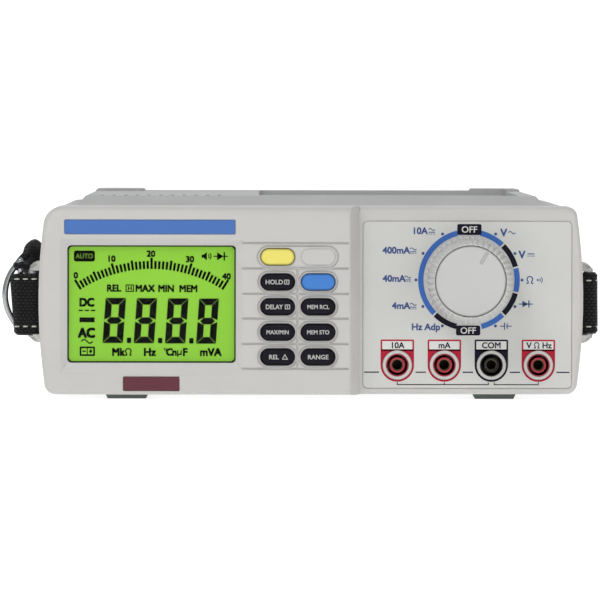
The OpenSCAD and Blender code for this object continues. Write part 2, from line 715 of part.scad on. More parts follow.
module bottom_cover() place() color([0.75, 0.75, 0.73]) difference() {
  union() {
    difference() {
      intersection() {
        along_y(bezel_d + 0.05, case_d) polygon(outline(cover_in, cover_in, 0));
        layer(0, seam_z - seam_gap);
      }
      along_y(bezel_d - 1, case_d + 1) polygon(outline(hollow_in, hollow_in, wall));
    }
    rods_z(pillars, 4.5, foot_h + 1, seam_z - seam_gap);
    rods_z(standoffs, 3, foot_h + 1, power_board_z - part_gap);
  }
  // Screw holes, counterbored from below in the pillars
  rods_z(pillars, 1.7, -1, 59);
  rods_z(pillars, 3.2, -1, foot_h + 20);
  rods_z(standoffs, 1.3, floor_z, floor_z + 20);
  // Battery opening and the notch for the door's tongue
  block(battery_x, battery_y, opening_w, opening_d, 0, 12);
  box(latch_x - 6.3, latch_x + 6.3, 95.9, 98, 0, 12);
  // Cooling slots in the floor
  for (k = [0:8]) slot_cut(-80 + 6 * k, 110, 140, 1.6, 0, floor_z + 0.5);
}

// ---------------------------------------------------------------- rear fittings
rear_y = case_d - 3.6;             // outer face of the rear panel
inlet_x = -64;                     // centre of the mains inlet
inlet_z = 49;
drawer_z = 59.5;                   // middle of the fuse drawer
port_x = 30;                       // centre of the serial port
port_z = 50;

module rear_panel() place() color([0.73, 0.73, 0.71]) difference() {
  along_y(rear_y - 2.4, rear_y)
    polygon(outline(hollow_in + 0.1, hollow_in + 0.1, wall + 0.1));
  slab(inlet_x, inlet_z, 28, 36, 200, 260);
  along_y(200, 260) pad(port_x, port_z, 25.6, 11.2, 2);
}

module mains_inlet() place() color([0.07, 0.07, 0.08]) difference() {
  union() {
    along_y(rear_y + 0.02, rear_y + 2) pad(inlet_x, inlet_z, 33, 41, 2);
    slab(inlet_x, inlet_z, 27.6, 35.6, rear_y - 24, rear_y + 1);
  }
  // Socket cavity with two sloped corners
  along_y(rear_y - 17, rear_y + 3)
    polygon([[-76, 33], [-52, 33], [-52, 45.5], [-56, 49.4], [-72, 49.4], [-76, 45.5]]);
  // Opening of the fuse drawer
  slab(inlet_x, drawer_z, 20.6, 10.2, rear_y - 23, rear_y + 3);
}

module inlet_pins() place() color([0.82, 0.83, 0.84])
  for (pin = [[-7, 39.2], [7, 39.2], [0, 43.8]])
    slab(inlet_x + pin[0], pin[1], 2, 4, rear_y - 16.95, rear_y - 1.5);

module fuse_drawer() place() color([0.1, 0.1, 0.11]) difference() {
  union() {
    slab(inlet_x, drawer_z, 20, 9.6, rear_y - 22.5, rear_y + 2.2);
    along_y(rear_y + 2.1, rear_y + 3.2) pad(inlet_x, drawer_z, 21.6, 11, 1);
  }
  // Hollow, open at the top, and a finger notch in the front plate
  box(inlet_x - 8.5, inlet_x + 8.5, rear_y - 21, rear_y - 1, 56.5, 65);
  box(inlet_x - 3, inlet_x + 3, rear_y + 2.6, rear_y + 4, 55, 56.6);
}

// D-shaped outline given by its half widths and half height
module d_outline(top, bottom, half_h)
  polygon([[-top, half_h], [top, half_h], [bottom, -half_h], [-bottom, -half_h]]);

// Upright row of pin outlines
module pin_row(count, z)
  for (k = [0:count - 1])
    translate([(k - (count - 1) / 2) * 2.76, z]) circle(r = 0.5, $fn = 16);

module serial_port() place() color([0.72, 0.73, 0.75])
  translate([port_x, 0, port_z]) difference() {
    nuts = [[-12.5, 0], [12.5, 0]];
    union() {
      along_y(rear_y + 0.02, rear_y + 0.8) pad(0, 0, 30.8, 12.6, 1.5);
      along_y(rear_y - 8, rear_y + 6) d_outline(8.6, 7, 4.2);
      rods_y(nuts, 2.4, rear_y + 0.5, rear_y + 4, 6);
    }
    // Cavity that leaves nine pins standing
    along_y(rear_y + 0.4, rear_y + 7) difference() {
      d_outline(7.9, 6.4, 3.6);
      pin_row(5, 1.4);
      pin_row(4, -1.4);
    }
    rods_y(nuts, 1.4, rear_y + 1.5, rear_y + 5, 24);
  }

// ---------------------------------------------------------------- feet
foot_x = [-75, 75];
foot_top = foot_h - 0.02;
leg_y = 41;                        // pivot of the tilt legs
leg_z = 1.62;
leg_len = 36;

// Toe and two ears
module front_foot() difference() {
  intersection() {
    along_y(leg_y - 6, leg_y + 5)
      polygon([[-7.8, 0], [7.8, 0], [9.4, foot_top], [-9.4, foot_top]]);
    translate([0, 0, -1]) linear_extrude(5)
      rounded_rect(-9.5, 9.5, leg_y - 6, leg_y + 5, 1.5);
  }
  box(-5.7, 5.7, leg_y - 2.2, leg_y + 6, -1, 5);
  rod_x(leg_y, leg_z, 0.85, -8, 8, 24);
}
module front_feet() place() color(foot_grey)
  for (x = foot_x) translate([x, 0, 0]) front_foot();

module rear_feet() place() color(foot_grey)
  for (x = foot_x) difference() {
    rod_z(x, 214, 9, 0, foot_top);
    rod_z(x, 214, 3, -1, 1);
  }

// Leg folded flat towards the rear, with an oblong hole
module tilt_leg(x) translate([x, 0, 0]) difference() {
  half_w = 5.4;
  union() {
    rod_x(leg_y, leg_z, 1.3, -half_w, half_w, 32);
    box(-half_w, half_w, leg_y, leg_y + leg_len, leg_z - 1.1, leg_z + 1.1);
    rod_x(leg_y + leg_len, leg_z, 1.1, -half_w, half_w, 32);
  }
  rod_x(leg_y, leg_z, 0.86, -8, 8, 24);
  translate([0, leg_y + 22, -1]) linear_extrude(5) rounded_rect(-2.6, 2.6, -12, 8, 2.5);
}
module tilt_leg_left() place() color(foot_grey) tilt_leg(foot_x[0]);
module tilt_leg_right() place() color(foot_grey) tilt_leg(foot_x[1]);

module tilt_leg_pins() place() color(steel)
  for (x = foot_x) rod_x(leg_y, leg_z, 0.8, x - 7.5, x + 7.5, 24);

// ---------------------------------------------------------------- strap
// Lug: a low round dome, drawn as [radius, height], with a front-to-rear channel
// that the webbing runs through and a hole for the upright pin
module lug() difference() {
  translate([0, pin_y + 6, lug_z]) rotate([0, 90, 0]) rotate_extrude($fn = 64)
    polygon([[0, 0], [16.8, 0], [16.8, 3], [16.3, 4.4], [15.2, 5.8], [13.4, 7],
             [11, 7.8], [0, 7.9]]);
  box(0.75, 12, -1, pin_y + 40, lug_z - web_w / 2 - 0.3, lug_z + web_w / 2 + 0.3);
  rod_z(loop_x - lug_x, pin_y, pin_r + 0.02, lug_z - 20, lug_z + 20);
}
module strap_lugs() place() color([0.78, 0.78, 0.76]) difference() {
  for (flip = [0, 1]) mirror([flip, 0, 0]) translate([lug_x, 0, 0]) lug();
  along_y(bezel_d, case_d) polygon(outline(cover_in - 0.02, cover_in - 0.02, -0.02));
}

// D-shaped ring, its straight bar upright
ring_bar = 13.8;                   // half length of the bar
ring_R = (ring_bar * ring_bar + ring_bow * ring_bow) / (2 * ring_bow);
ring_half = asin(ring_bar / ring_R);
module d_ring() translate([-ring_x, pin_y, lug_z + 3]) {
  rod_z(0, 0, ring_wire, -ring_bar, ring_bar, 32);
  for (z = [-ring_bar, ring_bar])
    translate([0, 0, z]) sphere(r = ring_wire + 0.2, $fn = 32);
  translate([ring_R - ring_bow, 0, 0]) rotate([90, 0, 0])
    rotate([0, 0, 180 - ring_half])
      rotate_extrude(angle = 2 * ring_half, $fn = 96)
        translate([ring_R, 0]) circle(r = ring_wire, $fn = 32);
}

// Pins of both lugs, and the ring that the left tab holds
module strap_fittings() place() color([0.72, 0.73, 0.75]) {
  for (x = [-loop_x, loop_x]) rod_z(x, pin_y, pin_r, lug_z - 14.3, lug_z + 14.3);
  d_ring();
}

// Stations of the ribbon: [x, y, z, width direction, width]
side_in = case_w / 2 + 1.4;        // middle of the ribbon beside the case
low_z = 13.8;                      // its height behind the case
turn_r = 4.5;                      // its turn at the rear corners
wrap_r = loop_r + web_t - ribbon_t / 2;
function mix(a, b, t) = a + (b - a) * t;
function ease(t) = t * t * (3 - 2 * t);
function upright(x, y, z = lug_z) = [x, y, z, [0, 0, 1], web_w];
// Smooth fall along a side from height z at y to low_z near the rear
function side_fall(x, y, z, steps) = [for (k = steps) let (t = k / 8)
  upright(x, mix(y, case_d - 8, t), mix(z, low_z, ease(t)))];
function rear_turn(side, angles) = [for (a = angles)
  upright(side * (side_in - turn_r * (1 - cos(a))),
          rear_run_y - turn_r * (1 - sin(a)), low_z)];
run = concat(
  // Bunched end at the ring, opening out to the full width
  [[-119.8, pin_y + 5.4, lug_z + 18.2, [0.3, 0.9, 0.2], 7],
   [-118.2, pin_y + 8, lug_z + 19.8, [0.2, 0.9, 0.4], 10],
   [-115.9, pin_y + 16, lug_z + 21.8, [0.1, 0.8, 0.6], 12],
   [-112.7, pin_y + 27, lug_z + 17, [0, 0.3, 0.95], 18]],
  side_fall(-side_in, pin_y + 42, lug_z + 13, [0:8]),
  rear_turn(-1, [0:18:90]),
  rear_turn(1, [90:-18:0]),
  side_fall(side_in, pin_y + 24, lug_z, [8:-1:0]),
  [upright(side_in - 0.35, pin_y + 12),
   upright(loop_x - wrap_r - 0.03, pin_y + 4)],
  // Round the right pin, then a sewn tail
  [for (a = [180:18:396]) upright(loop_x + wrap_r * cos(a), pin_y + wrap_r * sin(a))],
  [upright(loop_x + 0.5, pin_y + 6.5),
   upright(loop_x - 0.2, pin_y + 11),
   upright(loop_x - 0.2, pin_y + 18)]);

function unit(v) = v / norm(v);
function centre(k) = [run[k][0], run[k][1], run[k][2]];
// The four corners of the ribbon's section at station k
function ribbon_corners(k) = let (
    middle = centre(k), given = run[k][3],
    along = unit(centre(min(k + 1, len(run) - 1)) - centre(max(k - 1, 0))),
    // Leaning width directions are squared to the run
    across = given[2] == 1 ? given : unit(given - (given * along) * along),
    thick = unit(cross(along, across)) * ribbon_t / 2,
    wide = across * run[k][4] / 2)
  [middle - thick - wide, middle + thick - wide,
   middle + thick + wide, middle - thick + wide];
ribbon_points = [for (k = [0:len(run) - 1]) each ribbon_corners(k)];
last = 4 * (len(run) - 1);         // first corner of the last section
ribbon_faces = concat([[3, 2, 1], [3, 1, 0]],
  [for (a = [0:4:last - 4], c = [0:3]) let (d = (c + 1) % 4)
    each [[a + c, a + d, a + 4 + c], [a + d, a + 4 + d, a + 4 + c]]],
  [[last, last + 1, last + 2], [last, last + 2, last + 3]]);

// Outline of a fold round the left pin and the ring's bar
module fold(radius) {
  for (x = [-ring_x, -loop_x]) translate([x, pin_y]) circle(r = radius, $fn = 48);
  translate([-ring_x, pin_y - radius]) square([ring_x - loop_x, 2 * radius]);
}

module carry_strap() place() color([0.07, 0.07, 0.08]) {
  // The long ribbon, from the bunched end at the ring to the sewn fold at the
  // right; zeros in resize keep its size
  resize([0, 0, 0]) polyhedron(points = ribbon_points, faces = ribbon_faces);
  // Sewn tab that joins the left pin and the ring
  difference() {
    translate([0, 0, lug_z - web_w / 2]) linear_extrude(web_w) difference() {
      fold(loop_r + web_t);
      fold(loop_r);
    }
    // The ring's wire leaves the tab's left edge low down and near the top
    for (z = [[-14, -2.8], [8.8, 14]])
      box(-130, -ring_x, pin_y - 1.4, pin_y + 1.4, lug_z + z[0], lug_z + z[1]);
  }
}

// ---------------------------------------------------------------- screws
module board_screws(places, board_y, shank_y) {
  head_y = board_y + board_t + part_gap;
  rods_y(places, 2.4, head_y, head_y + 1.55);
  rods_y(places, 1.2, shank_y, board_y + 2);
}

module screws() place() color([0.7, 0.71, 0.73]) {
  rods_z(pillars, 3, foot_h + 18, foot_h + 19.95);
  rods_z(pillars, 1.45, foot_h + 19, foot_h + 53);
  rods_z(standoffs, 2.8, power_part_z, power_part_z + 1.8);
  rods_z(standoffs, 1.25, 6, 14);
  board_screws(display_screws, display_board_y, display_shank_y);
  board_screws(main_screws, main_board_y, main_shank_y);
}

front_bezel();
title_strip();
badge_plate();
panel_overlay();
lcd_window();
lcd_glass();
lcd_backlight();
lcd_holder();
display_board();
keypad_mat();
button_yellow();
button_blue();
button_hold();
button_delay();
button_maxmin();
button_relative();
button_recall();
button_store();
button_range();
selector_knob();
knob_cap();
selector_shaft();
switch_rotor();
rotor_wipers();
detent_balls();
detent_springs();
switch_housing();
main_board();
main_chips();
ribbon_cable();
jack_bodies_red();
jack_body_black();
jack_contacts();
power_board();
capacitors();
fuses();
fuse_clips();
buzzer();
transformer_core();
transformer_coil();
battery_cells();
battery_holder();
battery_contacts();
battery_door();
top_cover();
bottom_cover();
rear_panel();
mains_inlet();
inlet_pins();
fuse_drawer();
serial_port();
front_feet();
rear_feet();
tilt_leg_left();
tilt_leg_right();
tilt_leg_pins();
strap_lugs();
strap_fittings();
carry_strap();
screws();
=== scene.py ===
"""A bench multimeter: display on the left, selector dial on the right with four sockets
under it, and a carrying strap that runs round the back.

It stands on the table (z = 0) with its display face towards -Y, and +X is to the right as
seen from the front. Drawing coordinates are millimetres in the case's own frame: x from
the case's centre line, y back from the display face, z up from the table. Materials,
modifiers, floor, lights and lens clipping are in metres.
"""
import bpy
import bmesh
import json
import math
import random
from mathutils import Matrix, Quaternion, Vector


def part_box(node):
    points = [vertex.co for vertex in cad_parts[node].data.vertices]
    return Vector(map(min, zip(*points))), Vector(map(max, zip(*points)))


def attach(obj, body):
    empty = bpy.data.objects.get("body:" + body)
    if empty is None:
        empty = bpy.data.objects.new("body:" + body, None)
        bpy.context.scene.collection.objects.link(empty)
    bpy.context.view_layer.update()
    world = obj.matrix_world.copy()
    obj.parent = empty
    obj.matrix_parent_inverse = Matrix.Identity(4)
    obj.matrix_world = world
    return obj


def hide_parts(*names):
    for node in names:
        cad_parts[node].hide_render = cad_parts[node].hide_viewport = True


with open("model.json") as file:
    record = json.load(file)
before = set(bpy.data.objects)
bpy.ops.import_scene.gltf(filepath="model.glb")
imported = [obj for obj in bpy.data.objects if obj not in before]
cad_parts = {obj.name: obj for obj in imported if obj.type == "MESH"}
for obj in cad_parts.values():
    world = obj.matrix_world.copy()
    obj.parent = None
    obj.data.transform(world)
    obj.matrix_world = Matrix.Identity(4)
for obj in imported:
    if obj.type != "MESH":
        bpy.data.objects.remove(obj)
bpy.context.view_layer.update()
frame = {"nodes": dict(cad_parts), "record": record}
NODES = frame["nodes"]
random.seed(7)      # keeps any random draw repeatable

# --------------------------------------------------------------- frame and main places
BEZEL_LOW, BEZEL_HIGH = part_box("front_bezel")
CENTRE_X = (BEZEL_LOW.x + BEZEL_HIGH.x) / 2     # metres
FACE_Y = BEZEL_LOW.y + 0.0005                   # metres

# Depth (y) of the printed planes
LCD_Y = 4.34
WINDOW_PRINT_Y = 4.15
PANEL_Y = 8.1           # front of the printed overlay
COLLAR_Y = 8.0          # front of the socket collars
KEY_Y = -1.4            # front of the keys
FILM = 0.06             # thickness of a layer printed on the panel

DIAL_X, DIAL_Z = 63.7, 49.3
SOCKET_X = [34.8 + 19.0 * i for i in range(4)]
SOCKET_Z = 14.9
COMMON = 2              # index of the common socket
KEY_COLUMNS = (-13.6, 2.7)
KEY_ROWS = (48.6, 38.6, 28.4, 18.4)


def place(x, y, z):
    """Scene position in metres of a point in case millimetres."""
    return Vector((x / 1000 + CENTRE_X, y / 1000 + FACE_Y, z / 1000))


def polar(angle):
    """Cosine and sine of an angle in degrees."""
    return math.cos(math.radians(angle)), math.sin(math.radians(angle))


def build_object(name, bm, material):
    """Turns a bmesh into a linked object with one material, and frees the bmesh."""
    mesh = bpy.data.meshes.new(name)
    bm.to_mesh(mesh)
    bm.free()
    obj = bpy.data.objects.new(name, mesh)
    bpy.context.scene.collection.objects.link(obj)
    mesh.materials.append(material)
    return obj


# --------------------------------------------------------------- shader kit
class Shader:
    """A material's node tree, with a Principled surface unless told otherwise."""

    def __init__(self, name, principled=True):
        self.material = bpy.data.materials.new(name)
        self.material.use_nodes = True
        self.tree = self.material.node_tree
        for node in list(self.tree.nodes):
            self.tree.nodes.remove(node)
        self.output = self.node("OutputMaterial")
        if principled:
            self.surface = self.node("BsdfPrincipled")
            self.feed(self.output, {0: self.surface.outputs[0]})

    def feed(self, node, inputs):
        """Links a socket, or sets a value, on each input by name or index."""
        for key, value in inputs.items():
            if isinstance(value, bpy.types.NodeSocket):
                self.tree.links.new(value, node.inputs[key])
            else:
                node.inputs[key].default_value = value

    def node(self, kind, inputs=None, **settings):
        node = self.tree.nodes.new("ShaderNode" + kind)
        for key, value in settings.items():
            setattr(node, key, value)
        self.feed(node, inputs or {})
        return node

    def coords(self, kind):
        return self.node("TexCoord").outputs[kind]

    def noise(self, coords, scale, detail=3, rough=0.55):
        return self.node("TexNoise", {"Scale": scale, "Detail": detail, "Roughness": rough,
                                      "Vector": coords}).outputs["Fac"]

    def ramp(self, source, *stops):
        """Grey ramp through two stops, each (position, grey value)."""
        node = self.node("ValToRGB")
        for element, (position, grey) in zip(node.color_ramp.elements, stops):
            element.position = position
            element.color = (grey, grey, grey, 1)
        self.feed(node, {0: source})
        return node.outputs[0]

    def mix(self, factor, a, b, mode="MIX"):
        return self.node("Mix", {0: factor, 6: a, 7: b},
                         data_type="RGBA", blend_type=mode).outputs[2]

    def calc(self, operation, *values):
        return self.node("Math", dict(enumerate(values)), operation=operation).outputs[0]

    def occlusion(self, distance, samples):
        return self.node("AmbientOcclusion", {"Distance": distance},
                         samples=samples).outputs["AO"]

    def bump(self, height, strength, distance, normal=None):
        inputs = {"Strength": strength, "Distance": distance, "Height": height}
        if normal is not None:
            inputs["Normal"] = normal
        return self.node("Bump", inputs).outputs[0]

    def finish(self, inputs):
        """Feeds the Principled surface and hands back the material."""
        self.feed(self.surface, inputs)
        return self.material


def linear(rgb):
    """Linear RGBA of a display colour."""
    return (*((v / 12.92) if v <= 0.04045 else ((v + 0.055) / 1.055) ** 2.4 for v in rgb), 1)


def tint(colour, gain, lift=0.0):
    return tuple(min(1, v * gain + lift) for v in colour[:3]) + (1,)


# --------------------------------------------------------------- material kinds
def plastic(name, rgb, rough=0.42, grain=2600, grain_strength=0.35, wear=0.25,
            edge=0.0008, spec=0.45, coat=0.0, crevice_shade=0.12):
    """Moulded plastic: spark texture, faint mottle, rounded and lightly rubbed edges."""
    mottle = 0.022      # how far the colour strays from its base
    shader = Shader(name)
    coords = shader.coords("Object")
    base = linear(rgb)
    broad = shader.noise(coords, scale=35, detail=3)
    fine = shader.noise(coords, scale=420, detail=2)
    colour = shader.mix(shader.ramp(broad, (0.3, 0), (0.7, 1)),
                        tint(base, gain=1 - mottle * 1.6), tint(base, gain=1 + mottle))
    colour = shader.mix(shader.ramp(fine, (0.35, 0), (0.75, 0.35)), colour, base)

    # Edge mask: how far the rounded normal leans away from the true one
    rounded = shader.node("Bevel", {"Radius": edge}, samples=4).outputs[0]
    true_normal = shader.node("NewGeometry").outputs["Normal"]
    lean = shader.node("VectorMath", {0: rounded, 1: true_normal},
                       operation="DOT_PRODUCT").outputs["Value"]
    edges = shader.ramp(lean, (0.80, 1), (0.995, 0))
    patches = shader.ramp(shader.noise(coords, scale=160, detail=4), (0.42, 0), (0.62, 1))
    rubbed = shader.mix(1.0, edges, patches, mode="MULTIPLY")
    colour = shader.mix(shader.calc("MULTIPLY", rubbed, wear), colour,
                        tint(base, gain=1.25, lift=0.06))

    # Painted shade: faintly darker towards crevices, from ambient occlusion
    crevices = shader.ramp(shader.occlusion(distance=0.004, samples=4), (0.25, 1), (0.8, 0))
    colour = shader.mix(shader.calc("MULTIPLY", crevices, crevice_shade), colour,
                        tint(base, gain=0.45))

    roughness = shader.ramp(shader.noise(coords, scale=90, detail=4),
                            (0.3, rough - 0.06), (0.7, rough + 0.07))
    if coat:
        shader.feed(shader.surface, {"Coat Weight": coat, "Coat Roughness": 0.12})
    cells = shader.node("TexVoronoi", {"Scale": grain, "Vector": coords}).outputs["Distance"]
    grained = shader.bump(cells, strength=grain_strength, distance=0.00005, normal=rounded)
    waves = shader.noise(coords, scale=260, detail=3)
    return shader.finish({
        "Base Color": colour,
        "Roughness": roughness,
        "Specular IOR Level": spec,
        "Normal": shader.bump(waves, strength=0.10, distance=0.00025, normal=grained),
    })


def ink(name, rgb, rough=0.5, wear=0.10, spec=0.12):
    """Screen-printed ink: faintly uneven, with pinholes and a slight film relief."""
    shader = Shader(name)
    coords = shader.coords("Object")
    base = linear(rgb)
    pinholes = shader.noise(coords, scale=1500, detail=4, rough=0.6)
    thin = tint(base, gain=1.3, lift=0.04)
    return shader.finish({
        "Base Color": shader.mix(shader.ramp(pinholes, (0.5, 0), (0.85, wear * 3)),
                                 base, thin),
        "Roughness": shader.ramp(shader.noise(coords, scale=500, detail=3),
                                 (0.3, rough - 0.08), (0.7, rough + 0.1)),
        "Specular IOR Level": spec,
        "Normal": shader.bump(pinholes, strength=0.15, distance=0.00003),
    })


def metal(name, rgb, rough, stretch=(1, 1, 1), cavity_shade=0.0, rim=0.0):
    """Bare metal: fine grain, which stretch can draw out, and tarnished patches."""
    shader = Shader(name)
    coords = shader.coords("Object")
    stretched = shader.node("Mapping", {"Scale": stretch, "Vector": coords}).outputs[0]
    grain = shader.noise(stretched, scale=900, detail=4)
    base = linear(rgb)
    tarnish = shader.ramp(shader.noise(coords, scale=120, detail=4), (0.45, 0), (0.75, 1))
    colour = shader.mix(tarnish, base, tint(base, gain=0.7))
    if cavity_shade:
        # Painted shade: the metal is darkened deep inside a hole, from ambient occlusion
        depth = shader.ramp(shader.occlusion(distance=cavity_shade, samples=8),
                            (0.10, 1), (0.6, 0))
        colour = shader.mix(depth, colour, (0.012, 0.010, 0.008, 1))
    if rim:
        # Painted reflection: the bright wire's outline is darkened, as if it showed the dark
        # room
        facing = shader.node("LayerWeight", {"Blend": 0.5}).outputs["Facing"]
        colour = shader.mix(shader.ramp(facing, (0.35, 0), (0.75, rim)), colour,
                            (0.03, 0.03, 0.035, 1))
    return shader.finish({
        "Base Color": colour,
        "Roughness": shader.ramp(grain, (0.3, rough - 0.08), (0.7, rough + 0.12)),
        "Metallic": 1.0,
        "Normal": shader.bump(grain, strength=0.12, distance=0.00004),
    })


def woven(name, rgb):
    """Woven nylon: UV u runs along the strap in metres, v across it."""
    pitch_u, pitch_v = 0.0017, 0.00125      # one weave cell along and across
    shader = Shader(name)
    calc = shader.calc
    uv = shader.coords("UV")
    coords = shader.coords("Object")
    split = shader.node("SeparateXYZ", {0: uv})
    u = calc("MULTIPLY", split.outputs[0], 1 / pitch_u)
    v = calc("MULTIPLY", split.outputs[1], 1 / pitch_v)
    # Every other row is shifted by half a cell
    odd_row = calc("MODULO", calc("FLOOR", v), 2.0)
    shifted = calc("ADD", u, calc("MULTIPLY", odd_row, 0.5))
    cell_u = calc("FRACT", shifted)
    cell_v = calc("FRACT", v)
    arch_u = calc("SINE", calc("MULTIPLY", cell_u, math.pi))
    arch_v = calc("SINE", calc("MULTIPLY", cell_v, math.pi))
    weave = calc("MULTIPLY", calc("POWER", arch_u, 0.6), calc("POWER", arch_v, 0.7))
    fibre = shader.noise(coords, scale=4200, detail=3)
    base = linear(rgb)
    # Painted shade and painted sheen: the colour follows the weave's relief, darker in its
    # hollows and lighter on its crowns
    colour = shader.mix(shader.ramp(weave, (0.15, 0), (0.95, 1)),
                        tint(base, gain=0.35), tint(base, gain=2.6, lift=0.010))
    colour = shader.mix(shader.ramp(fibre, (0.4, 0), (0.8, 0.6)), colour, base)
    relief = shader.bump(weave, strength=0.9, distance=0.00035)
    return shader.finish({
        "Base Color": colour,
        "Roughness": shader.ramp(weave, (0.0, 0.85), (1.0, 0.48)),
        "Sheen Weight": 0.08,
        "Specular IOR Level": 0.15,
        "Normal": shader.bump(fibre, strength=0.35, distance=0.00008, normal=relief),
    })


def glow(name, rgb, strength):
    """Backlit liquid crystal ground: brighter in the middle, with a fine cell grain."""
    shader = Shader(name)
    generated = shader.coords("Generated")
    coords = shader.coords("Object")
    centred = shader.node("Mapping", {"Location": (-0.5, -0.5, -0.5),
                                      "Scale": (0.9, 0.2, 0.9), "Vector": generated})
    middle = shader.node("TexGradient", {0: centred.outputs[0]}, gradient_type="SPHERICAL")
    base = linear(rgb)
    edge = (base[0] * 0.80, base[1] * 0.86, base[2] * 0.8, 1)
    colour = shader.mix(shader.ramp(middle.outputs["Color"], (0.3, 0), (0.85, 1)),
                        edge, base)
    colour = shader.mix(shader.ramp(shader.noise(coords, scale=900, detail=2),
                                    (0.3, 0), (0.8, 0.10)),
                        colour, tint(base, gain=0.85))
    return shader.finish({
        "Base Color": colour,
        "Emission Color": colour,
        "Emission Strength": strength,
        "Roughness": 0.35,
        "Normal": shader.bump(shader.noise(coords, scale=2400, detail=2),
                              strength=0.1, distance=0.00003),
    })


def clear_window(name):
    """Clear pane: mostly transparent, with a soft, slightly wavy reflection."""
    shader = Shader(name, principled=False)
    clear = shader.node("BsdfTransparent", {0: (0.97, 0.985, 0.97, 1)})
    gloss = shader.node("BsdfGlossy", {"Roughness": 0.06})
    fresnel = shader.node("Fresnel", {"IOR": 1.17})
    coords = shader.coords("Object")
    smears = shader.noise(coords, scale=60, detail=4)
    shader.feed(gloss, {
        "Roughness": shader.ramp(smears, (0.3, 0.04), (0.7, 0.12)),
        "Normal": shader.bump(shader.noise(coords, scale=12, detail=2),
                              strength=0.05, distance=0.0003),
    })
    pane = shader.node("MixShader", {0: fresnel.outputs[0], 1: clear.outputs[0],
                                     2: gloss.outputs[0]})
    shader.feed(shader.output, {0: pane.outputs[0]})
    return shader.material


def board(name):
    """Green circuit board with a faint grid of lighter lines."""
    shader = Shader(name)
    grid = shader.node("TexBrick", {
        "Scale": 260, "Mortar Size": 0.04,
        "Color1": linear((0.06, 0.34, 0.17)), "Color2": linear((0.05, 0.30, 0.15)),
        "Mortar": linear((0.13, 0.47, 0.25)), "Vector": shader.coords("Object")})
    return shader.finish({
        "Base Color": grid.outputs["Color"],
        "Roughness": 0.3,
        "Normal": shader.bump(grid.outputs["Fac"], strength=0.3, distance=0.00005),
    })


# --------------------------------------------------------------- materials
# name: (kind, its settings)
MATERIAL_TABLE = {
    "case_front": (plastic, dict(rgb=(0.80, 0.795, 0.785))),
    # Painted shade: the cover's grey is darker than the front's, standing in for the shade
    # on the top
    "case_cover": (plastic, dict(rgb=(0.725, 0.727, 0.73), rough=0.5)),
    "rear_plate": (plastic, dict(rgb=(0.74, 0.74, 0.725), rough=0.5)),
    "strip_blue": (plastic, dict(rgb=(0.27, 0.45, 0.74), rough=0.35, grain_strength=0.1,
                                 coat=0.2, crevice_shade=0.03)),
    "badge_maroon": (plastic, dict(rgb=(0.37, 0.10, 0.18), rough=0.32, grain_strength=0.1,
                                   coat=0.3, crevice_shade=0.03)),
    "overlay": (plastic, dict(rgb=(0.825, 0.828, 0.815), rough=0.5, grain=3600,
                              grain_strength=0.25, crevice_shade=0.1)),
    "window": (clear_window, {}),
    "lcd_cell": (glow, dict(rgb=(0.59, 0.82, 0.20), strength=0.36)),
    "diffuser": (plastic, dict(rgb=(0.93, 0.95, 0.88), rough=0.3)),
    "circuit_board": (board, {}),
    "silicone": (plastic, dict(rgb=(0.55, 0.57, 0.60), rough=0.75)),
    "key_yellow": (plastic, dict(rgb=(0.945, 0.895, 0.44), rough=0.45, grain_strength=0.25,
                                 crevice_shade=0.2)),
    "key_blue": (plastic, dict(rgb=(0.25, 0.51, 0.83), rough=0.45, grain_strength=0.25,
                               crevice_shade=0.2)),
    "key_black": (plastic, dict(rgb=(0.075, 0.07, 0.115), rough=0.5, grain_strength=0.3,
                                wear=0.18, spec=0.16)),
    "knob": (plastic, dict(rgb=(0.84, 0.84, 0.83), rough=0.42, grain_strength=0.25,
                           wear=0.3, crevice_shade=0.3, edge=0.0005)),
    "knob_face": (plastic, dict(rgb=(0.79, 0.79, 0.785), rough=0.38, grain_strength=0.12,
                                crevice_shade=0.2)),
    "steel": (metal, dict(rgb=(0.72, 0.73, 0.75), rough=0.3)),
    "white_plastic": (plastic, dict(rgb=(0.9, 0.9, 0.88))),
    "spring_bronze": (metal, dict(rgb=(0.83, 0.64, 0.32), rough=0.28)),
    "black_plastic": (plastic, dict(rgb=(0.07, 0.07, 0.075), rough=0.5, wear=0.2)),
    "cable_grey": (plastic, dict(rgb=(0.60, 0.62, 0.64), rough=0.55)),
    "red_plastic": (plastic, dict(rgb=(0.70, 0.12, 0.19), rough=0.3, grain_strength=0.08,
                                  coat=0.25, crevice_shade=0.3)),
    "jack_black": (plastic, dict(rgb=(0.045, 0.045, 0.05), rough=0.3, grain_strength=0.08,
                                 coat=0.15, spec=0.25)),
    "contact_metal": (metal, dict(rgb=(0.80, 0.74, 0.60), rough=0.22, cavity_shade=0.02)),
    "capacitor_sleeve": (plastic, dict(rgb=(0.14, 0.20, 0.36), rough=0.25, coat=0.3)),
    "ceramic": (plastic, dict(rgb=(0.92, 0.91, 0.86), rough=0.35)),
    "core_steel": (metal, dict(rgb=(0.33, 0.34, 0.37), rough=0.5, stretch=(1, 60, 1))),
    "coil_tape": (plastic, dict(rgb=(0.80, 0.62, 0.20), rough=0.3, coat=0.4)),
    "cell_jacket": (plastic, dict(rgb=(0.30, 0.33, 0.36), rough=0.3, coat=0.4)),
    "foot_rubber": (plastic, dict(rgb=(0.45, 0.48, 0.47), rough=0.72, grain=1500,
                                  grain_strength=0.5, wear=0.15)),
    "plated_metal": (metal, dict(rgb=(0.72, 0.73, 0.75), rough=0.16, rim=0.85)),
    "lug_plastic": (plastic, dict(rgb=(0.80, 0.80, 0.775), rough=0.42)),
    "webbing": (woven, dict(rgb=(0.065, 0.065, 0.068))),
}
MATERIALS = {name: kind(name, **settings)
             for name, (kind, settings) in MATERIAL_TABLE.items()}

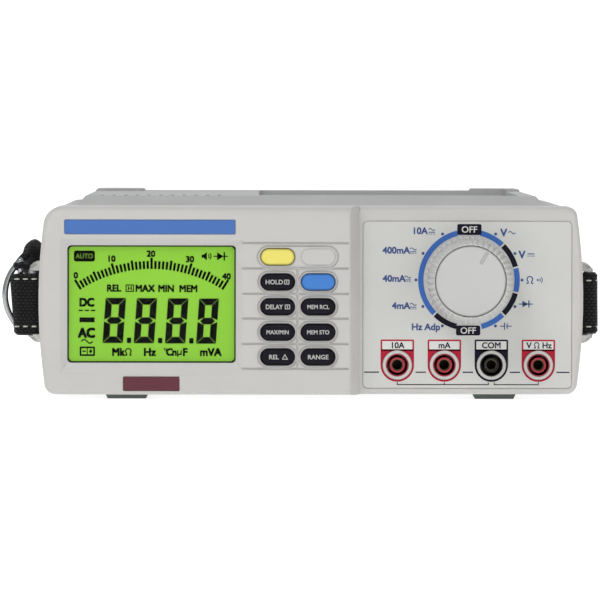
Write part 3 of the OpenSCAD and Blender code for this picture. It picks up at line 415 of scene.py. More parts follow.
INK_TABLE = {
    "ink_blue": dict(rgb=(0.26, 0.43, 0.73)),
    "ink_dark": dict(rgb=(0.085, 0.08, 0.15)),
    "ink_red": dict(rgb=(0.70, 0.14, 0.22)),
    "ink_white": dict(rgb=(0.88, 0.88, 0.87)),
    "ink_label": dict(rgb=(0.87, 0.87, 0.86)),
    "ink_charcoal": dict(rgb=(0.20, 0.22, 0.30)),
    "lcd_ink": dict(rgb=(0.02, 0.03, 0.015), rough=0.85, wear=0.0, spec=0.0),
    "lcd_lit": dict(rgb=(0.50, 0.66, 0.22)),
    "window_shade_ink": dict(rgb=(0.10, 0.14, 0.08)),
    "ink_navy": dict(rgb=(0.26, 0.34, 0.54)),
    "ink_key": dict(rgb=(0.76, 0.76, 0.75)),
    "thread": dict(rgb=(0.80, 0.80, 0.76), rough=0.7, wear=0.05),
}
INKS = {name: ink(name, **settings) for name, settings in INK_TABLE.items()}


def dress_cad_pieces():
    """Gives each CAD piece its material and welds its doubled vertices."""
    slots = {part["node"]: part["material_slot"] for part in frame["record"]["subparts"]}
    for name, obj in NODES.items():
        obj.data.materials.clear()
        obj.data.materials.append(MATERIALS[slots[name]])
        weld = obj.modifiers.new("weld", "WELD")
        weld.merge_threshold = 0.000002


dress_cad_pieces()


# --------------------------------------------------------------- drawing kit
def text_mesh(words):
    """Vertices and faces of centred lettering at size 1, slightly extruded."""
    curve = bpy.data.curves.new("t", "FONT")
    curve.body = words
    curve.size = 1.0
    curve.align_x = "CENTER"
    curve.extrude = 0.01
    curve.resolution_u = 3
    obj = bpy.data.objects.new("t", curve)
    bpy.context.scene.collection.objects.link(obj)
    bpy.context.view_layer.update()
    evaluated = obj.evaluated_get(bpy.context.evaluated_depsgraph_get())
    mesh = bpy.data.meshes.new_from_object(evaluated)
    vertices = [v.co.copy() for v in mesh.vertices]
    faces = [list(p.vertices) for p in mesh.polygons]
    bpy.data.objects.remove(obj)
    bpy.data.curves.remove(curve)
    bpy.data.meshes.remove(mesh)
    return vertices, faces


def cap_height():
    heights = [v.y for v in text_mesh("H")[0]]
    return max(heights) - min(heights)


CAP_HEIGHT = cap_height()


def rounded_outline(x0, x1, z0, z1, radius):
    """Rounded rectangle, anticlockwise from its right side, six steps to a corner."""
    points = []
    for x, z, start in ((x1 - radius, z1 - radius, 0), (x0 + radius, z1 - radius, 90),
                        (x0 + radius, z0 + radius, 180), (x1 - radius, z0 + radius, 270)):
        for k in range(7):
            c, s = polar(start + 90 * k / 6)
            points.append((x + radius * c, z + radius * s))
    return points


def circle_outline(x, z, radius, steps):
    return [(x + radius * math.cos(2 * math.pi * k / steps),
             z + radius * math.sin(2 * math.pi * k / steps)) for k in range(steps)]


class Sheet:
    """Flat shapes on an upright plane: the back lies at y, the front `thick` before it."""

    def __init__(self, name, material, y, thick, slot, body="case"):
        self.name, self.material, self.y, self.thick = name, material, y, thick
        self.slot, self.body = slot, body
        self.bm = bmesh.new()

    def outline(self, points, y):
        return [self.bm.verts.new(place(x, y, z)) for x, z in points]

    def poly(self, points):
        area = sum(points[i - 1][0] * points[i][1] - points[i][0] * points[i - 1][1]
                   for i in range(len(points)))
        if area < 0:
            points = points[::-1]
        front = self.outline(points, self.y - self.thick)
        back = self.outline(points, self.y)
        self.bm.faces.new(front)
        self.bm.faces.new(back[::-1])
        for i in range(len(points)):
            j = (i + 1) % len(points)
            self.bm.faces.new((front[j], front[i], back[i], back[j]))

    def rect(self, x0, x1, z0, z1):
        self.poly([(x0, z0), (x1, z0), (x1, z1), (x0, z1)])

    def disc(self, x, z, radius, steps):
        self.poly(circle_outline(x, z, radius, steps))

    def rounded(self, x0, x1, z0, z1, radius):
        self.poly(rounded_outline(x0, x1, z0, z1, radius))

    def ring(self, outer, inner):
        """Closed band between two outlines of the same length."""
        outer_front = self.outline(outer, self.y - self.thick)
        inner_front = self.outline(inner, self.y - self.thick)
        outer_back = self.outline(outer, self.y)
        inner_back = self.outline(inner, self.y)
        for i in range(len(outer)):
            j = (i + 1) % len(outer)
            for face in ((outer_front[i], outer_front[j], inner_front[j], inner_front[i]),
                         (outer_back[j], outer_back[i], inner_back[i], inner_back[j]),
                         (outer_front[j], outer_front[i], outer_back[i], outer_back[j]),
                         (inner_front[i], inner_front[j], inner_back[j], inner_back[i])):
                self.bm.faces.new(face)

    def rounded_frame(self, x0, x1, z0, z1, radius, width):
        self.ring(rounded_outline(x0, x1, z0, z1, radius),
                  rounded_outline(x0 + width, x1 - width, z0 + width, z1 - width,
                                  max(radius - width, 0.02)))

    def sector(self, x, z, inner, outer, start, end):
        """Part of a ring; angles clockwise from the top, in degrees."""
        steps = max(3, int(abs(end - start) / 3))
        turns = [polar(start + (end - start) * k / steps) for k in range(steps + 1)]
        for (c0, s0), (c1, s1) in zip(turns, turns[1:]):
            self.poly([(x + inner * s0, z + inner * c0), (x + outer * s0, z + outer * c0),
                       (x + outer * s1, z + outer * c1), (x + inner * s1, z + inner * c1)])

    def line(self, points, width):
        """Polyline with mitred joints."""
        last = len(points) - 1
        left, right = [], []
        for i in range(last + 1):
            point = Vector(points[i])
            before = (point - Vector(points[i - 1])).normalized() if i > 0 else None
            after = (Vector(points[i + 1]) - point).normalized() if i < last else None
            miter = 1.0
            if before is None or after is None:
                along = before or after
            else:
                along = (before + after).normalized()
            normal = Vector((-along.y, along.x))
            if before is not None and after is not None:
                miter = 1 / max(0.35, normal.dot(Vector((-before.y, before.x))))
            left.append(point + normal * width / 2 * miter)
            right.append(point - normal * width / 2 * miter)
        for i in range(last):
            self.poly([tuple(left[i]), tuple(right[i]),
                       tuple(right[i + 1]), tuple(left[i + 1])])

    def arc(self, x, z, radius, start, end, width, steps):
        """Curved line; angles clockwise from the top, in degrees."""
        turns = [polar(start + (end - start) * k / steps) for k in range(steps + 1)]
        self.line([(x + radius * s, z + radius * c) for c, s in turns], width)

    def wave(self, x, z, length, height, width, steps):
        """One sine wave starting at x."""
        self.line([(x + length * k / steps, z + height * math.sin(2 * math.pi * k / steps))
                   for k in range(steps + 1)], width)

    def text(self, words, x, z, height, bold, squeeze=1.0):
        """Lettering: x, z is the middle of the capitals, height is theirs."""
        vertices, faces = text_mesh(words)
        scale = height / CAP_HEIGHT
        shift = bold * scale
        # Heavier strokes come from four slightly shifted copies
        shifts = ((-shift, -shift), (shift, -shift), (-shift, shift), (shift, shift))
        for layer, (dx, dz) in enumerate(shifts):
            placed = []
            for v in vertices:
                depth = self.y - self.thick if v.z > 0 else self.y
                placed.append(self.bm.verts.new(place(
                    x + v.x * scale * squeeze + dx,
                    depth - 0.012 * layer,
                    z + v.y * scale - height / 2 + dz)))
            for face in faces:
                # A glyph may hold a repeated or collapsed face, which bmesh refuses
                try:
                    self.bm.faces.new([placed[i] for i in face])
                except ValueError:
                    pass

    def done(self):
        obj = build_object(self.name, self.bm, self.material)
        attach(obj, self.body)


# --------------------------------------------------------------- signs
def draw_ohm(sheet, x, z, height, width):
    radius = height * 0.36
    middle = z + height * 0.10
    foot = z - height / 2 + width / 2
    sheet.arc(x, middle, radius, -142, 142, width, steps=18)
    for side in (-1, 1):
        sheet.line([(x + side * radius * 0.62, middle - radius * 0.79),
                    (x + side * radius * 0.62, foot), (x + side * radius * 1.25, foot)],
                   width)


def draw_micro(sheet, x, z, size, width):
    left, right = x - size * 0.25, x + size * 0.26
    sheet.line([(left, z + size * 0.28), (left, z - size * 0.72)], width)
    sheet.line([(left, z - size * 0.25), (x - size * 0.08, z - size * 0.42),
                (x + size * 0.14, z - size * 0.3), (right, z - size * 0.05)], width)
    sheet.line([(right, z + size * 0.28), (right, z - size * 0.46)], width)


def draw_ac_dc(sheet, x, z):
    """Alternating and direct current: a wave over a bar over three dashes."""
    sheet.wave(x - 1.3, z + 0.55, length=2.6, height=0.42, width=0.34, steps=12)
    sheet.rect(x - 1.3, x + 1.3, z - 0.75, z - 0.42)
    for dx in (-0.95, 0, 0.95):
        sheet.rect(x + dx - 0.28, x + dx + 0.28, z - 1.45, z - 1.15)


def draw_diode(sheet, x, z, back, tip, half, bar_end, bar_half, wire, wire_half):
    """Triangle from back to tip, a bar at the tip and a wire through both."""
    sheet.poly([(x + back, z - half), (x + tip, z), (x + back, z + half)])
    sheet.rect(x + tip, x + bar_end, z - bar_half, z + bar_half)
    sheet.rect(x + wire[0], x + wire[1], z - wire_half, z + wire_half)


def draw_sound(sheet, x, z, radii, width):
    for radius in radii:
        sheet.arc(x, z, radius, 50, 130, width, steps=8)


# --------------------------------------------------------------- display
# Corners of the digits: left, right, bottom, top
DIGITS = ((-84.185, -74.688, 23.751, 41.952), (-71.630, -62.133, 23.682, 41.883),
          (-59.034, -49.537, 23.612, 41.814), (-46.479, -37.223, 23.545, 41.745))
# Decimal points: left, right, bottom, top
POINTS = ((-74.377, -72.615, 23.739, 25.923), (-61.822, -60.060, 23.670, 25.854),
          (-49.226, -47.464, 23.601, 25.785))
SEGMENT, SEGMENT_GAP, DIGIT_SLANT = 2.65, 0.10, 0.07

# Bar graph: ticks fanned over an arc
FAN_X, FAN_Z = -64.4266, 0.2345
FAN_RADIUS = 53.4411
FAN_HALF_WIDTH = 28.4909
FAN_TICKS = 40          # steps between the first and last tick
# Numerals over the fan: text, x, z
FAN_NUMERALS = (("0", -94.970, 51.025), ("10", -80.684, 57.788), ("20", -64.668, 59.792),
                ("30", -49.014, 57.614), ("40", -34.205, 50.691))
# Words in a row over the digits: text, x, z
DISPLAY_WORDS = (("REL", -79.638, 45.911), ("MAX", -67.082, 45.842),
                 ("MIN", -58.551, 45.795), ("MEM", -49.577, 45.746))
UNITS_Z = 20.142


def draw_digit(sheet, left, right, bottom, top):
    """Seven slightly slanted segments between two corners."""
    thick, gap = SEGMENT, SEGMENT_GAP
    right -= (top - bottom) * DIGIT_SLANT
    middle = (bottom + top) / 2

    def segment(points):
        sheet.poly([(x + (z - bottom) * DIGIT_SLANT, z) for x, z in points])

    for end, up in ((top, 1), (bottom, -1)):
        segment([(left + gap, end), (right - gap, end),
                 (right - gap - thick, end - up * thick),
                 (left + gap + thick, end - up * thick)])
    segment([(left + thick * 0.34 + gap, middle),
             (left + thick * 0.84 + gap, middle + thick / 2),
             (right - thick * 0.84 - gap, middle + thick / 2),
             (right - thick * 0.34 - gap, middle),
             (right - thick * 0.84 - gap, middle - thick / 2),
             (left + thick * 0.84 + gap, middle - thick / 2)])
    for end, up in ((top, 1), (bottom, -1)):
        for edge, inward in ((left, 1), (right, -1)):
            inner = edge + inward * thick
            segment([(edge, middle + up * (gap + 0.25)),
                     (inner, middle + up * (thick / 2 + gap + 0.1)),
                     (inner, end - up * (thick + gap)), (edge, end - up * gap)])


def draw_bar_graph(sheet):
    span = math.degrees(math.asin(FAN_HALF_WIDTH / FAN_RADIUS))
    for k in range(FAN_TICKS + 1):
        length = 4.5 if k % 10 == 0 else (3.9 if k % 5 == 0 else 3.2)
        c, s = polar(-span + 2 * span * k / FAN_TICKS)
        sheet.line([(FAN_X + r * s, FAN_Z + r * c)
                    for r in (FAN_RADIUS, FAN_RADIUS + length)], width=0.95)
    for words, x, z in FAN_NUMERALS:
        sheet.text(words, x, z, 2.3, bold=0.045)


def draw_display_top(sheet):
    """Boxed word, speaker and diode along the top edge."""
    x0, x1, z0, z1 = -95.734, -87.284, 56.617, 61.009
    sheet.rounded(x0, x1, z0, z1, 0.9)
    lit = Sheet("lcd_icon_text", INKS["lcd_lit"], LCD_Y - 0.06, 0.03, slot="lcd_cell")
    lit.text("AUTO", (x0 + x1) / 2, (z0 + z1) / 2, 1.9, bold=0.012, squeeze=0.9)
    lit.done()

    x, z = -42.254, 58.824
    sheet.rect(x - 2.0, x - 1.2, z - 0.6, z + 0.6)
    sheet.poly([(x - 1.2, z - 0.6), (x + 0.1, z - 1.7), (x + 0.1, z + 1.7),
                (x - 1.2, z + 0.6)])
    draw_sound(sheet, x - 0.1, z, radii=(1.1, 1.9), width=0.4)
    draw_diode(sheet, -36.419, 58.792, back=-1.6, tip=1.0, half=1.6, bar_end=1.6,
               bar_half=1.7, wire=(-3.0, 2.8), wire_half=0.22)


def draw_display_words(sheet):
    for words, x, z in DISPLAY_WORDS:
        sheet.text(words, x, z, 2.6, bold=0.04, squeeze=0.95)
    x, z = -73.199, 45.875
    sheet.rounded_frame(x - 1.7, x + 1.7, z - 1.5, z + 1.5, 0.3, 0.4)
    sheet.text("H", x, z, 1.7, bold=0.03)


def draw_display_left(sheet):
    """Left column: DC with dashes and a bar, AC with a wave, and a box with - and +."""
    for words, z, height in (("DC", 40.176, 3.1), ("AC", 27.862, 3.6)):
        sheet.text(words, -90.543, z, height, bold=0.05, squeeze=0.92)
    for x, z in ((-92.958, 36.890), (-90.463, 36.876), (-87.968, 36.862)):
        sheet.rect(x - 0.85, x + 0.85, z - 0.28, z + 0.28)
    sheet.rect(-93.441, -87.364, 32.110, 34.075)
    sheet.wave(-92.7225, 24.4007, length=4.6, height=0.75, width=0.5, steps=14)

    x0, x1, z0, z1 = -93.400, -87.203, 18.508, 22.325
    sheet.rounded_frame(x0, x1, z0, z1, 0.4, 0.7)
    x, z = (x0 + x1) / 2, (z0 + z1) / 2
    sheet.rect(x - 2.0, x - 0.6, z - 0.28, z + 0.28)
    sheet.rect(x + 0.7, x + 2.0, z - 0.28, z + 0.28)
    sheet.rect(x + 1.07, x + 1.63, z - 0.8, z + 0.8)
    sheet.rect(x - 0.2, x + 0.15, z0, z1)


def draw_units(sheet):
    """Row of units under the digits; the ohm, degree and micro signs are drawn."""
    z = UNITS_Z
    sheet.text("Mk", -77.867, z, 2.9, bold=0.045, squeeze=0.95)
    draw_ohm(sheet, -73.763, z, 3.0, 0.5)
    sheet.text("Hz", -65.191, z, 2.9, bold=0.045)
    sheet.arc(-58.873, z + 1.1, 0.42, 0, 360, 0.3, steps=12)
    sheet.text("C", -57.223, z, 2.7, bold=0.045)
    sheet.text("n", -55.171, z, 2.7, bold=0.045)
    draw_micro(sheet, -53.159, z, 2.7, 0.45)
    sheet.text("F", -50.905, z, 2.9, bold=0.045)
    sheet.text("mVA", -40.604, z, 2.9, bold=0.045)


def build_display():
    sheet = Sheet("lcd_segments", INKS["lcd_ink"], LCD_Y, 0.05, slot="lcd_cell")
    for corners in DIGITS:
        draw_digit(sheet, *corners)
    for corners in POINTS:
        sheet.rounded(*corners, 0.35)
    draw_bar_graph(sheet)
    draw_display_top(sheet)
    draw_display_words(sheet)
    draw_display_left(sheet)
    draw_units(sheet)
    sheet.done()

    # Painted shade: a dark green band round the window's edge, where the bezel's walls shade
    # the recessed display
    border = Sheet("window_edge_shade", INKS["window_shade_ink"], WINDOW_PRINT_Y, 0.08, slot="window")
    border.ring(rounded_outline(-99.6, -29.2, 14.6, 64.5, 1.2),
                rounded_outline(-97.75, -31.05, 16.45, 62.65, 1.5))
    border.done()


build_display()

# --------------------------------------------------------------- dial panel
RING_INNER, RING_OUTER = 18.4, 20.55
# Printed ring: start and end angles, clockwise from the top
BLUE_ARCS = ((14, 43), (76, 104), (136, 165), (226, 346))
DARK_ARCS = ((45, 74), (106, 134), (195, 224))
DOT_HOURS = (1, 3, 5, 8, 9, 10, 11, 7, 4, 2)    # clock positions of the dots
DOT_CIRCLE = 21.45
# OFF labels: text x, z, then the box round it: left, right, bottom, top, corner
OFF_LABELS = ((63.8, 69.7, (58.9, 68.7, 67.5, 71.9, 0.7)),
              (63.4, 28.9, (58.5, 68.3, 26.9, 30.9, 0.7)))
# Current ranges: text, x, z, x of the current sign
CURRENT_RANGES = (("10A", 43.783, 69.135, 48.612), ("400mA", 34.286, 61.260, 41.127),
                  ("40mA", 33.441, 49.876, 38.913), ("4mA", 36.258, 38.875, 41.207))


def draw_dial_ring(blue, dark, navy):
    for sheet, arcs in ((blue, BLUE_ARCS), (dark, DARK_ARCS)):
        for start, end in arcs:
            sheet.sector(DIAL_X, DIAL_Z, RING_INNER, RING_OUTER, start, end)
    for hour in DOT_HOURS:
        c, s = polar(30 * hour)
        navy.disc(DIAL_X + DOT_CIRCLE * s, DIAL_Z + DOT_CIRCLE * c, 0.6, steps=16)


def build_off_labels(dark):
    off = Sheet("off_labels", INKS["ink_white"], PANEL_Y - FILM, 0.05, slot="overlay")
    for x, z, box in OFF_LABELS:
        dark.rounded(*box)
        off.text("OFF", x, z, 2.5, bold=0.012)
    off.done()


def draw_range_labels(navy):
    for words, x, z, sign_x in CURRENT_RANGES:
        navy.text(words, x, z, 2.55, bold=0.03)
        draw_ac_dc(navy, sign_x, z)
    navy.text("Hz Adp", 46.278, 30.329, 2.55, bold=0.03)

    # Alternating volts
    x, z = 77.666, 68.466
    navy.text("V", x, z, 2.9, bold=0.03)
    navy.wave(x + 1.9, z, length=2.8, height=0.5, width=0.38, steps=12)

    # Direct volts
    x, z = 85.070, 59.572
    navy.text("V", x, z, 2.9, bold=0.03)
    navy.rect(x + 2.2, x + 5.0, z + 0.1, z + 0.5)
    for dx in (2.5, 3.6, 4.7):
        navy.rect(x + dx - 0.32, x + dx + 0.32, z - 0.75, z - 0.4)

    # Ohms and sound
    x, z = 88.290, 49.333
    draw_ohm(navy, x, z, 3.1, 0.46)
    navy.disc(x + 3.2, z, 0.42, steps=12)
    draw_sound(navy, x + 3.2, z, radii=(1.0, 1.8), width=0.34)
    draw_diode(navy, 86.801, 39.603, back=-1.5, tip=0.9, half=1.35, bar_end=1.35,
               bar_half=1.45, wire=(-2.9, 2.7), wire_half=0.19)

    # A straight and a curved plate, each with a wire
    x, z = 78.753, 30.633
    navy.rect(x - 0.85, x - 0.42, z - 1.5, z + 1.5)
    navy.arc(x + 2.0, z, 1.7, -128, -52, 0.4, steps=10)
    navy.rect(x - 2.4, x - 0.8, z - 0.19, z + 0.19)
    navy.rect(x + 0.4, x + 2.2, z - 0.19, z + 0.19)


# --------------------------------------------------------------- socket prints
SHIELD_HALF = 6.75      # half width of a shield and of the label frame over it
SHIELD_HOLE = 6.02
LABEL_Z = 22.9
# Words in the label boxes before and after the ohm sign: text, x
SOCKET_WORDS = (("10A", SOCKET_X[0]), ("mA", SOCKET_X[1]), ("COM", SOCKET_X[2]), ("V", 88.0))
BRACKET_Z = 7.0
# Short rules beside the sockets: left, right
RULES = ((42.2, 46.4), (61.2, 65.4), (80.2, 84.4), (99.2, 104.4), (21.4, 27.4))


def draw_shield(sheet, x):
    """Collar with a round lower end and square top, and the label frame over it."""
    outer, inner = [], []
    for k in range(40):
        angle = 2 * math.pi * (k + 0.5) / 40
        c, s = math.cos(angle), math.sin(angle)
        inner.append((x + SHIELD_HOLE * c, SOCKET_Z + SHIELD_HOLE * s))
        reach = SHIELD_HALF if s <= 0 else SHIELD_HALF / max(abs(c), s)
        outer.append((x + reach * c, SOCKET_Z + reach * s))
    sheet.ring(outer, inner)
    sheet.rounded_frame(x - SHIELD_HALF, x + SHIELD_HALF, LABEL_Z - 2.3, LABEL_Z + 2.3,
                        0.5, 0.62)


def build_socket_labels(red, dark):
    labels = Sheet("socket_labels", INKS["ink_label"], PANEL_Y - FILM, 0.04, slot="overlay")
    for i, x in enumerate(SOCKET_X):
        draw_shield(dark if i == COMMON else red, x)
        labels.rounded(x - 6.05, x + 6.05, LABEL_Z - 1.65, LABEL_Z + 1.65, 0.2)
    words_sheet = Sheet("socket_words_dark", INKS["ink_dark"], PANEL_Y - 0.10, 0.04,
                        slot="key_black")
    for words, x in SOCKET_WORDS:
        words_sheet.text(words, x, LABEL_Z, 2.3, bold=0.02)
    draw_ohm(words_sheet, 91.1, LABEL_Z, 2.5, 0.4)
    words_sheet.text("Hz", 95.2, LABEL_Z, 2.3, bold=0.02)
    words_sheet.done()
    labels.done()


def build_socket_rims():
    """The printed colour runs on over the rims of the collars."""
    red = Sheet("socket_rims_red", INKS["ink_red"], COLLAR_Y, FILM, slot="red_plastic")
    dark = Sheet("socket_rims_dark", INKS["ink_dark"], COLLAR_Y, FILM, slot="key_black")
    for i, x in enumerate(SOCKET_X):
        sheet = dark if i == COMMON else red
        sheet.ring(circle_outline(x, SOCKET_Z, 5.93, 48),
                   circle_outline(x, SOCKET_Z, 5.36, 48))
    red.done()
    dark.done()


def draw_brackets(dark):
    """Thin brackets that tie each measuring socket to the common one."""
    common = SOCKET_X[COMMON]
    for left, right in ((SOCKET_X[0], common - 1.2), (common + 1.2, SOCKET_X[3])):
        dark.line([(left, 8.0), (left, BRACKET_Z), (right, BRACKET_Z), (right, 8.0)], 0.35)
        if left == SOCKET_X[0]:
            dark.line([(SOCKET_X[1], 7.9), (SOCKET_X[1], BRACKET_Z)], 0.35)


def build_panel_prints():
    blue = Sheet("dial_ring_blue", INKS["ink_blue"], PANEL_Y, FILM, slot="strip_blue")
    dark = Sheet("dial_ring_dark", INKS["ink_dark"], PANEL_Y, FILM, slot="key_black")
    navy = Sheet("dial_labels", INKS["ink_navy"], PANEL_Y, 0.05, slot="key_black")
    red = Sheet("socket_shields_red", INKS["ink_red"], PANEL_Y, FILM, slot="red_plastic")
    draw_dial_ring(blue, dark, navy)
    build_off_labels(dark)
    draw_range_labels(navy)
    navy.done()
    blue.done()
    build_socket_labels(red, dark)
    build_socket_rims()
    draw_brackets(dark)
    red.done()
    for left, right in RULES:
        dark.line([(left, 12.0), (right, 12.0)], 0.45)
    dark.done()


build_panel_prints()

# --------------------------------------------------------------- key legends
# key body, column, row, text, its height, squeeze, sideways shift
KEYS = (("button_hold", 0, 0, "HOLD", 1.75, 1.0, -1.4),
        ("button_delay", 0, 1, "DELAY", 1.75, 0.9, -1.4),
        ("button_maxmin", 0, 2, "MAX/MIN", 1.6, 0.92, 0),
        ("button_relative", 0, 3, "REL", 1.75, 1.0, -1.5),
        ("button_recall", 1, 1, "MEM RCL", 1.6, 0.92, 0),
        ("button_store", 1, 2, "MEM STO", 1.6, 0.92, 0),
        ("button_range", 1, 3, "RANGE", 1.75, 1.0, 0))
# Small box with an upright stroke after the word: its left edge from the key's middle
KEY_BOXES = {"HOLD": 2.6, "DELAY": 2.9}


def build_legends():
    for body, column, row, words, height, squeeze, shift in KEYS:
        sheet = Sheet(body.replace("button", "legend"), INKS["ink_key"], KEY_Y, 0.05,
                      slot="overlay", body=body)
        x, z = KEY_COLUMNS[column], KEY_ROWS[row]
        sheet.text(words, x + shift, z, height, bold=0.018, squeeze=squeeze)
        if words in KEY_BOXES:
            left = x + KEY_BOXES[words]
            sheet.rounded_frame(left, left + 2.1, z - 0.95, z + 0.95, 0.2, 0.3)
            sheet.rect(left + 0.85, left + 1.2, z - 0.5, z + 0.5)
        elif words == "REL":
            sheet.line([(x + 1.9, z - 0.85), (x + 2.95, z + 0.95), (x + 4.0, z - 0.85),
                        (x + 1.9, z - 0.85)], 0.3)
        sheet.done()


build_legends()

# --------------------------------------------------------------- strap
PIN_Y, LUG_Z = 45.0, 39.0
PIN_X = 113.8           # axis of the lug pins, from the centre line
RING_X = 118.8          # straight bar of the left ring, from the centre line
SIDE_X = 111.4          # the strap's run along the sides
REAR_Y, REAR_Z = 244.0, 13.8
REAR_CORNER = 5.0       # bend radius at the rear corners
WEB_WIDTH, WEB_THICK = 25.2, 1.9
LOOP_RADIUS = 3.02      # webbing's middle round a pin
TAB_X = -RING_X + 0.1   # outer bend of the left tab
TAB_Z = LUG_Z - 0.9


def smooth_samples(points, step):
    """Samples about a step apart along a Catmull-Rom curve through the stations."""
    def at(i, t):
        near = [points[max(0, min(len(points) - 1, i + k))] for k in (-1, 0, 1, 2)]
        return [0.5 * (2 * b + (c - a) * t + (2 * a - 5 * b + 4 * c - d) * t * t
                       + (3 * b - a - 3 * c + d) * t ** 3)
                for a, b, c, d in zip(*near)]

    dense = [at(i, k / 40) for i in range(len(points) - 1) for k in range(40)]
    dense.append(list(points[-1]))
    samples, travelled = [dense[0]], 0.0
    for a, b in zip(dense, dense[1:]):
        travelled += math.dist(a[:3], b[:3])
        if travelled >= step:
            samples.append(b)
            travelled = 0.0
    samples.append(dense[-1])
    return samples


def web_section(width, gather, phase, count=22):
    """Section of flat webbing: rounded edges, a thin selvedge, folds where gathered.

    Each point is (across, off the middle plane, share of the width).
    """
    ratio = WEB_THICK / width
    points = []
    for side in (1, -1):
        for k in range(count):
            v = side * (-0.5 + k / (count - 1))
            out = abs(v) * 2
            rounding = max(0.0, (out - (1 - ratio)) / ratio)
            half = WEB_THICK / 2 * math.sqrt(max(0.0, 1 - rounding ** 2))
            if 0.78 < out < 0.9:
                half *= 0.86
            fold = gather * math.sin(2 * math.pi * (v * 1.6 + phase)) * (1 - 0.35 * out)
            points.append((v * width, side * half + fold, v + 0.5))
    return points


def build_ribbon(name, stations, step, wave, seed=0.0):
    """Webbing along stations of x, y, z, across-direction x, y, z, width, gather."""
    samples = smooth_samples(stations, step)
    bm = bmesh.new()
    uv = bm.loops.layers.uv.new("UVMap")

    def face(*corners):
        made = bm.faces.new([corner[0] for corner in corners])
        for loop, (_, u, v) in zip(made.loops, corners):
            loop[uv].uv = (u / 1000, v / 1000)
        return made

    rings, travelled = [], 0.0      # ring entries: vertex, distance along, distance across
    for i, sample in enumerate(samples):
        point = Vector(sample[:3])
        before = Vector(samples[max(0, i - 1)][:3])
        after = Vector(samples[min(len(samples) - 1, i + 1)][:3])
        tangent = (after - before).normalized()
        across = Vector(sample[3:6])
        across = (across - tangent * across.dot(tangent)).normalized()
        normal = tangent.cross(across).normalized()
        if i:
            travelled += (point - before).length
        width, gather = sample[6:]
        ring = []
        for along_width, off, v in web_section(width, gather, 0.25 + 0.013 * travelled):
            ripple = (wave * math.sin(travelled / 9.0 + seed)
                      * math.cos(3.0 * v + travelled / 23.0))
            position = point + across * along_width + normal * (off + ripple)
            ring.append((bm.verts.new(place(*position)), travelled, v * width))
        rings.append(ring)

    count = len(rings[0])
    for a, b in zip(rings, rings[1:]):
        for k in range(count):
            j = (k + 1) % count
            face(a[k], a[j], b[j], b[k]).smooth = True
    for ring in (rings[0], rings[-1]):
        for k in range(count // 2 - 1):
            face(ring[k], ring[k + 1], ring[count - 2 - k], ring[count - 1 - k])
    bmesh.ops.remove_doubles(bm, verts=bm.verts, dist=1e-7)
    bmesh.ops.recalc_face_normals(bm, faces=bm.faces)
    obj = build_object(name, bm, MATERIALS["webbing"])
    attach(obj, "case")
    return obj


def upright(x, y, z, lean=(0, 0), width=WEB_WIDTH, gather=0.0):
    """Station whose width stands upright, but for a small lean in x and y."""
    return (x, y, z, *lean, 1, width, gather)


def lerp(a, b, t):
    return a + (b - a) * t


def ease(t):
    return t * t * (3 - 2 * t)


def rear_corner(side, angle):
    c, s = polar(angle)
    return upright(side * (SIDE_X - REAR_CORNER * (1 - c)),
                   REAR_Y - REAR_CORNER + REAR_CORNER * s, REAR_Z)


def strap_stations():
    # Turned-back end at the left ring, lying beneath the strap
    stations = [(-115.2, 61.5, 53.6, 0.1, 0.75, 0.65, 9.0, 0.4),
                (-117.0, 53.6, 53.4, 0.2, 0.7, 0.6, 6.0, 0.4)]
    # Round the top end of the ring's straight bar: angle, width
    for angle, width in ((235, 3.6), (205, 3.0), (165, 2.6), (120, 2.4), (75, 2.4),
                         (30, 2.6), (-15, 3.2), (-50, 4.4)):
        c, s = polar(angle)
        stations.append(upright(-RING_X - 2.1 * c, PIN_Y - 2.1 * s, 53.9,
                                width=width, gather=0.1))
    # Spreading out again from the ring
    stations += [(-118.6, 50.8, 55.4, 0.25, 0.6, 0.7, 6.6, 0.45),
                 (-117.2, 56.5, 57.0, 0.2, 0.6, 0.75, 9.0, 0.6),
                 (-115.0, 64.5, 58.0, 0.1, 0.4, 0.9, 12.0, 0.5),
                 (-112.8, 75.0, 56.2, 0.0, 0.2, 0.98, 16.0, 0.35)]
    # Left side, round the back, right side
    for k in range(9):
        t = k / 8
        bulge = 0.5 if 0 < k < 8 else 0
        stations.append(upright(-SIDE_X - bulge, lerp(88, 236, t),
                                lerp(LUG_Z + 12.4, REAR_Z, ease(t)), lean=(0, 0.02),
                                width=lerp(21.0, WEB_WIDTH, min(1, t * 5)),
                                gather=0.3 * max(0, 1 - 4 * t)))
    stations += [rear_corner(-1, angle) for angle in range(18, 91, 18)]
    stations += [upright(x, REAR_Y, REAR_Z) for x in (-70, -35, 0, 35, 70)]
    stations += [rear_corner(1, angle) for angle in range(90, 17, -18)]
    for k in range(8, -1, -1):
        t = k / 8
        bulge = 0.3 if 0 < k < 8 else 0
        stations.append(upright(SIDE_X + bulge, lerp(69, 236, t),
                                lerp(LUG_Z, REAR_Z, ease(t)), lean=(0, 0.02)))
    # Round the right pin, with the end turned back
    stations.append(upright(SIDE_X - 0.3, 57, LUG_Z))
    for angle in range(180, 397, 24):
        c, s = polar(angle)
        stations.append(upright(PIN_X + LOOP_RADIUS * c, PIN_Y + LOOP_RADIUS * s, LUG_Z))
    stations += [upright(PIN_X + 0.6, 51.6, LUG_Z, width=25.1),
                 upright(PIN_X - 0.15, 56.5, LUG_Z, width=25.0),
                 upright(PIN_X - 0.25, 63.5, LUG_Z, width=25.0)]
    return stations


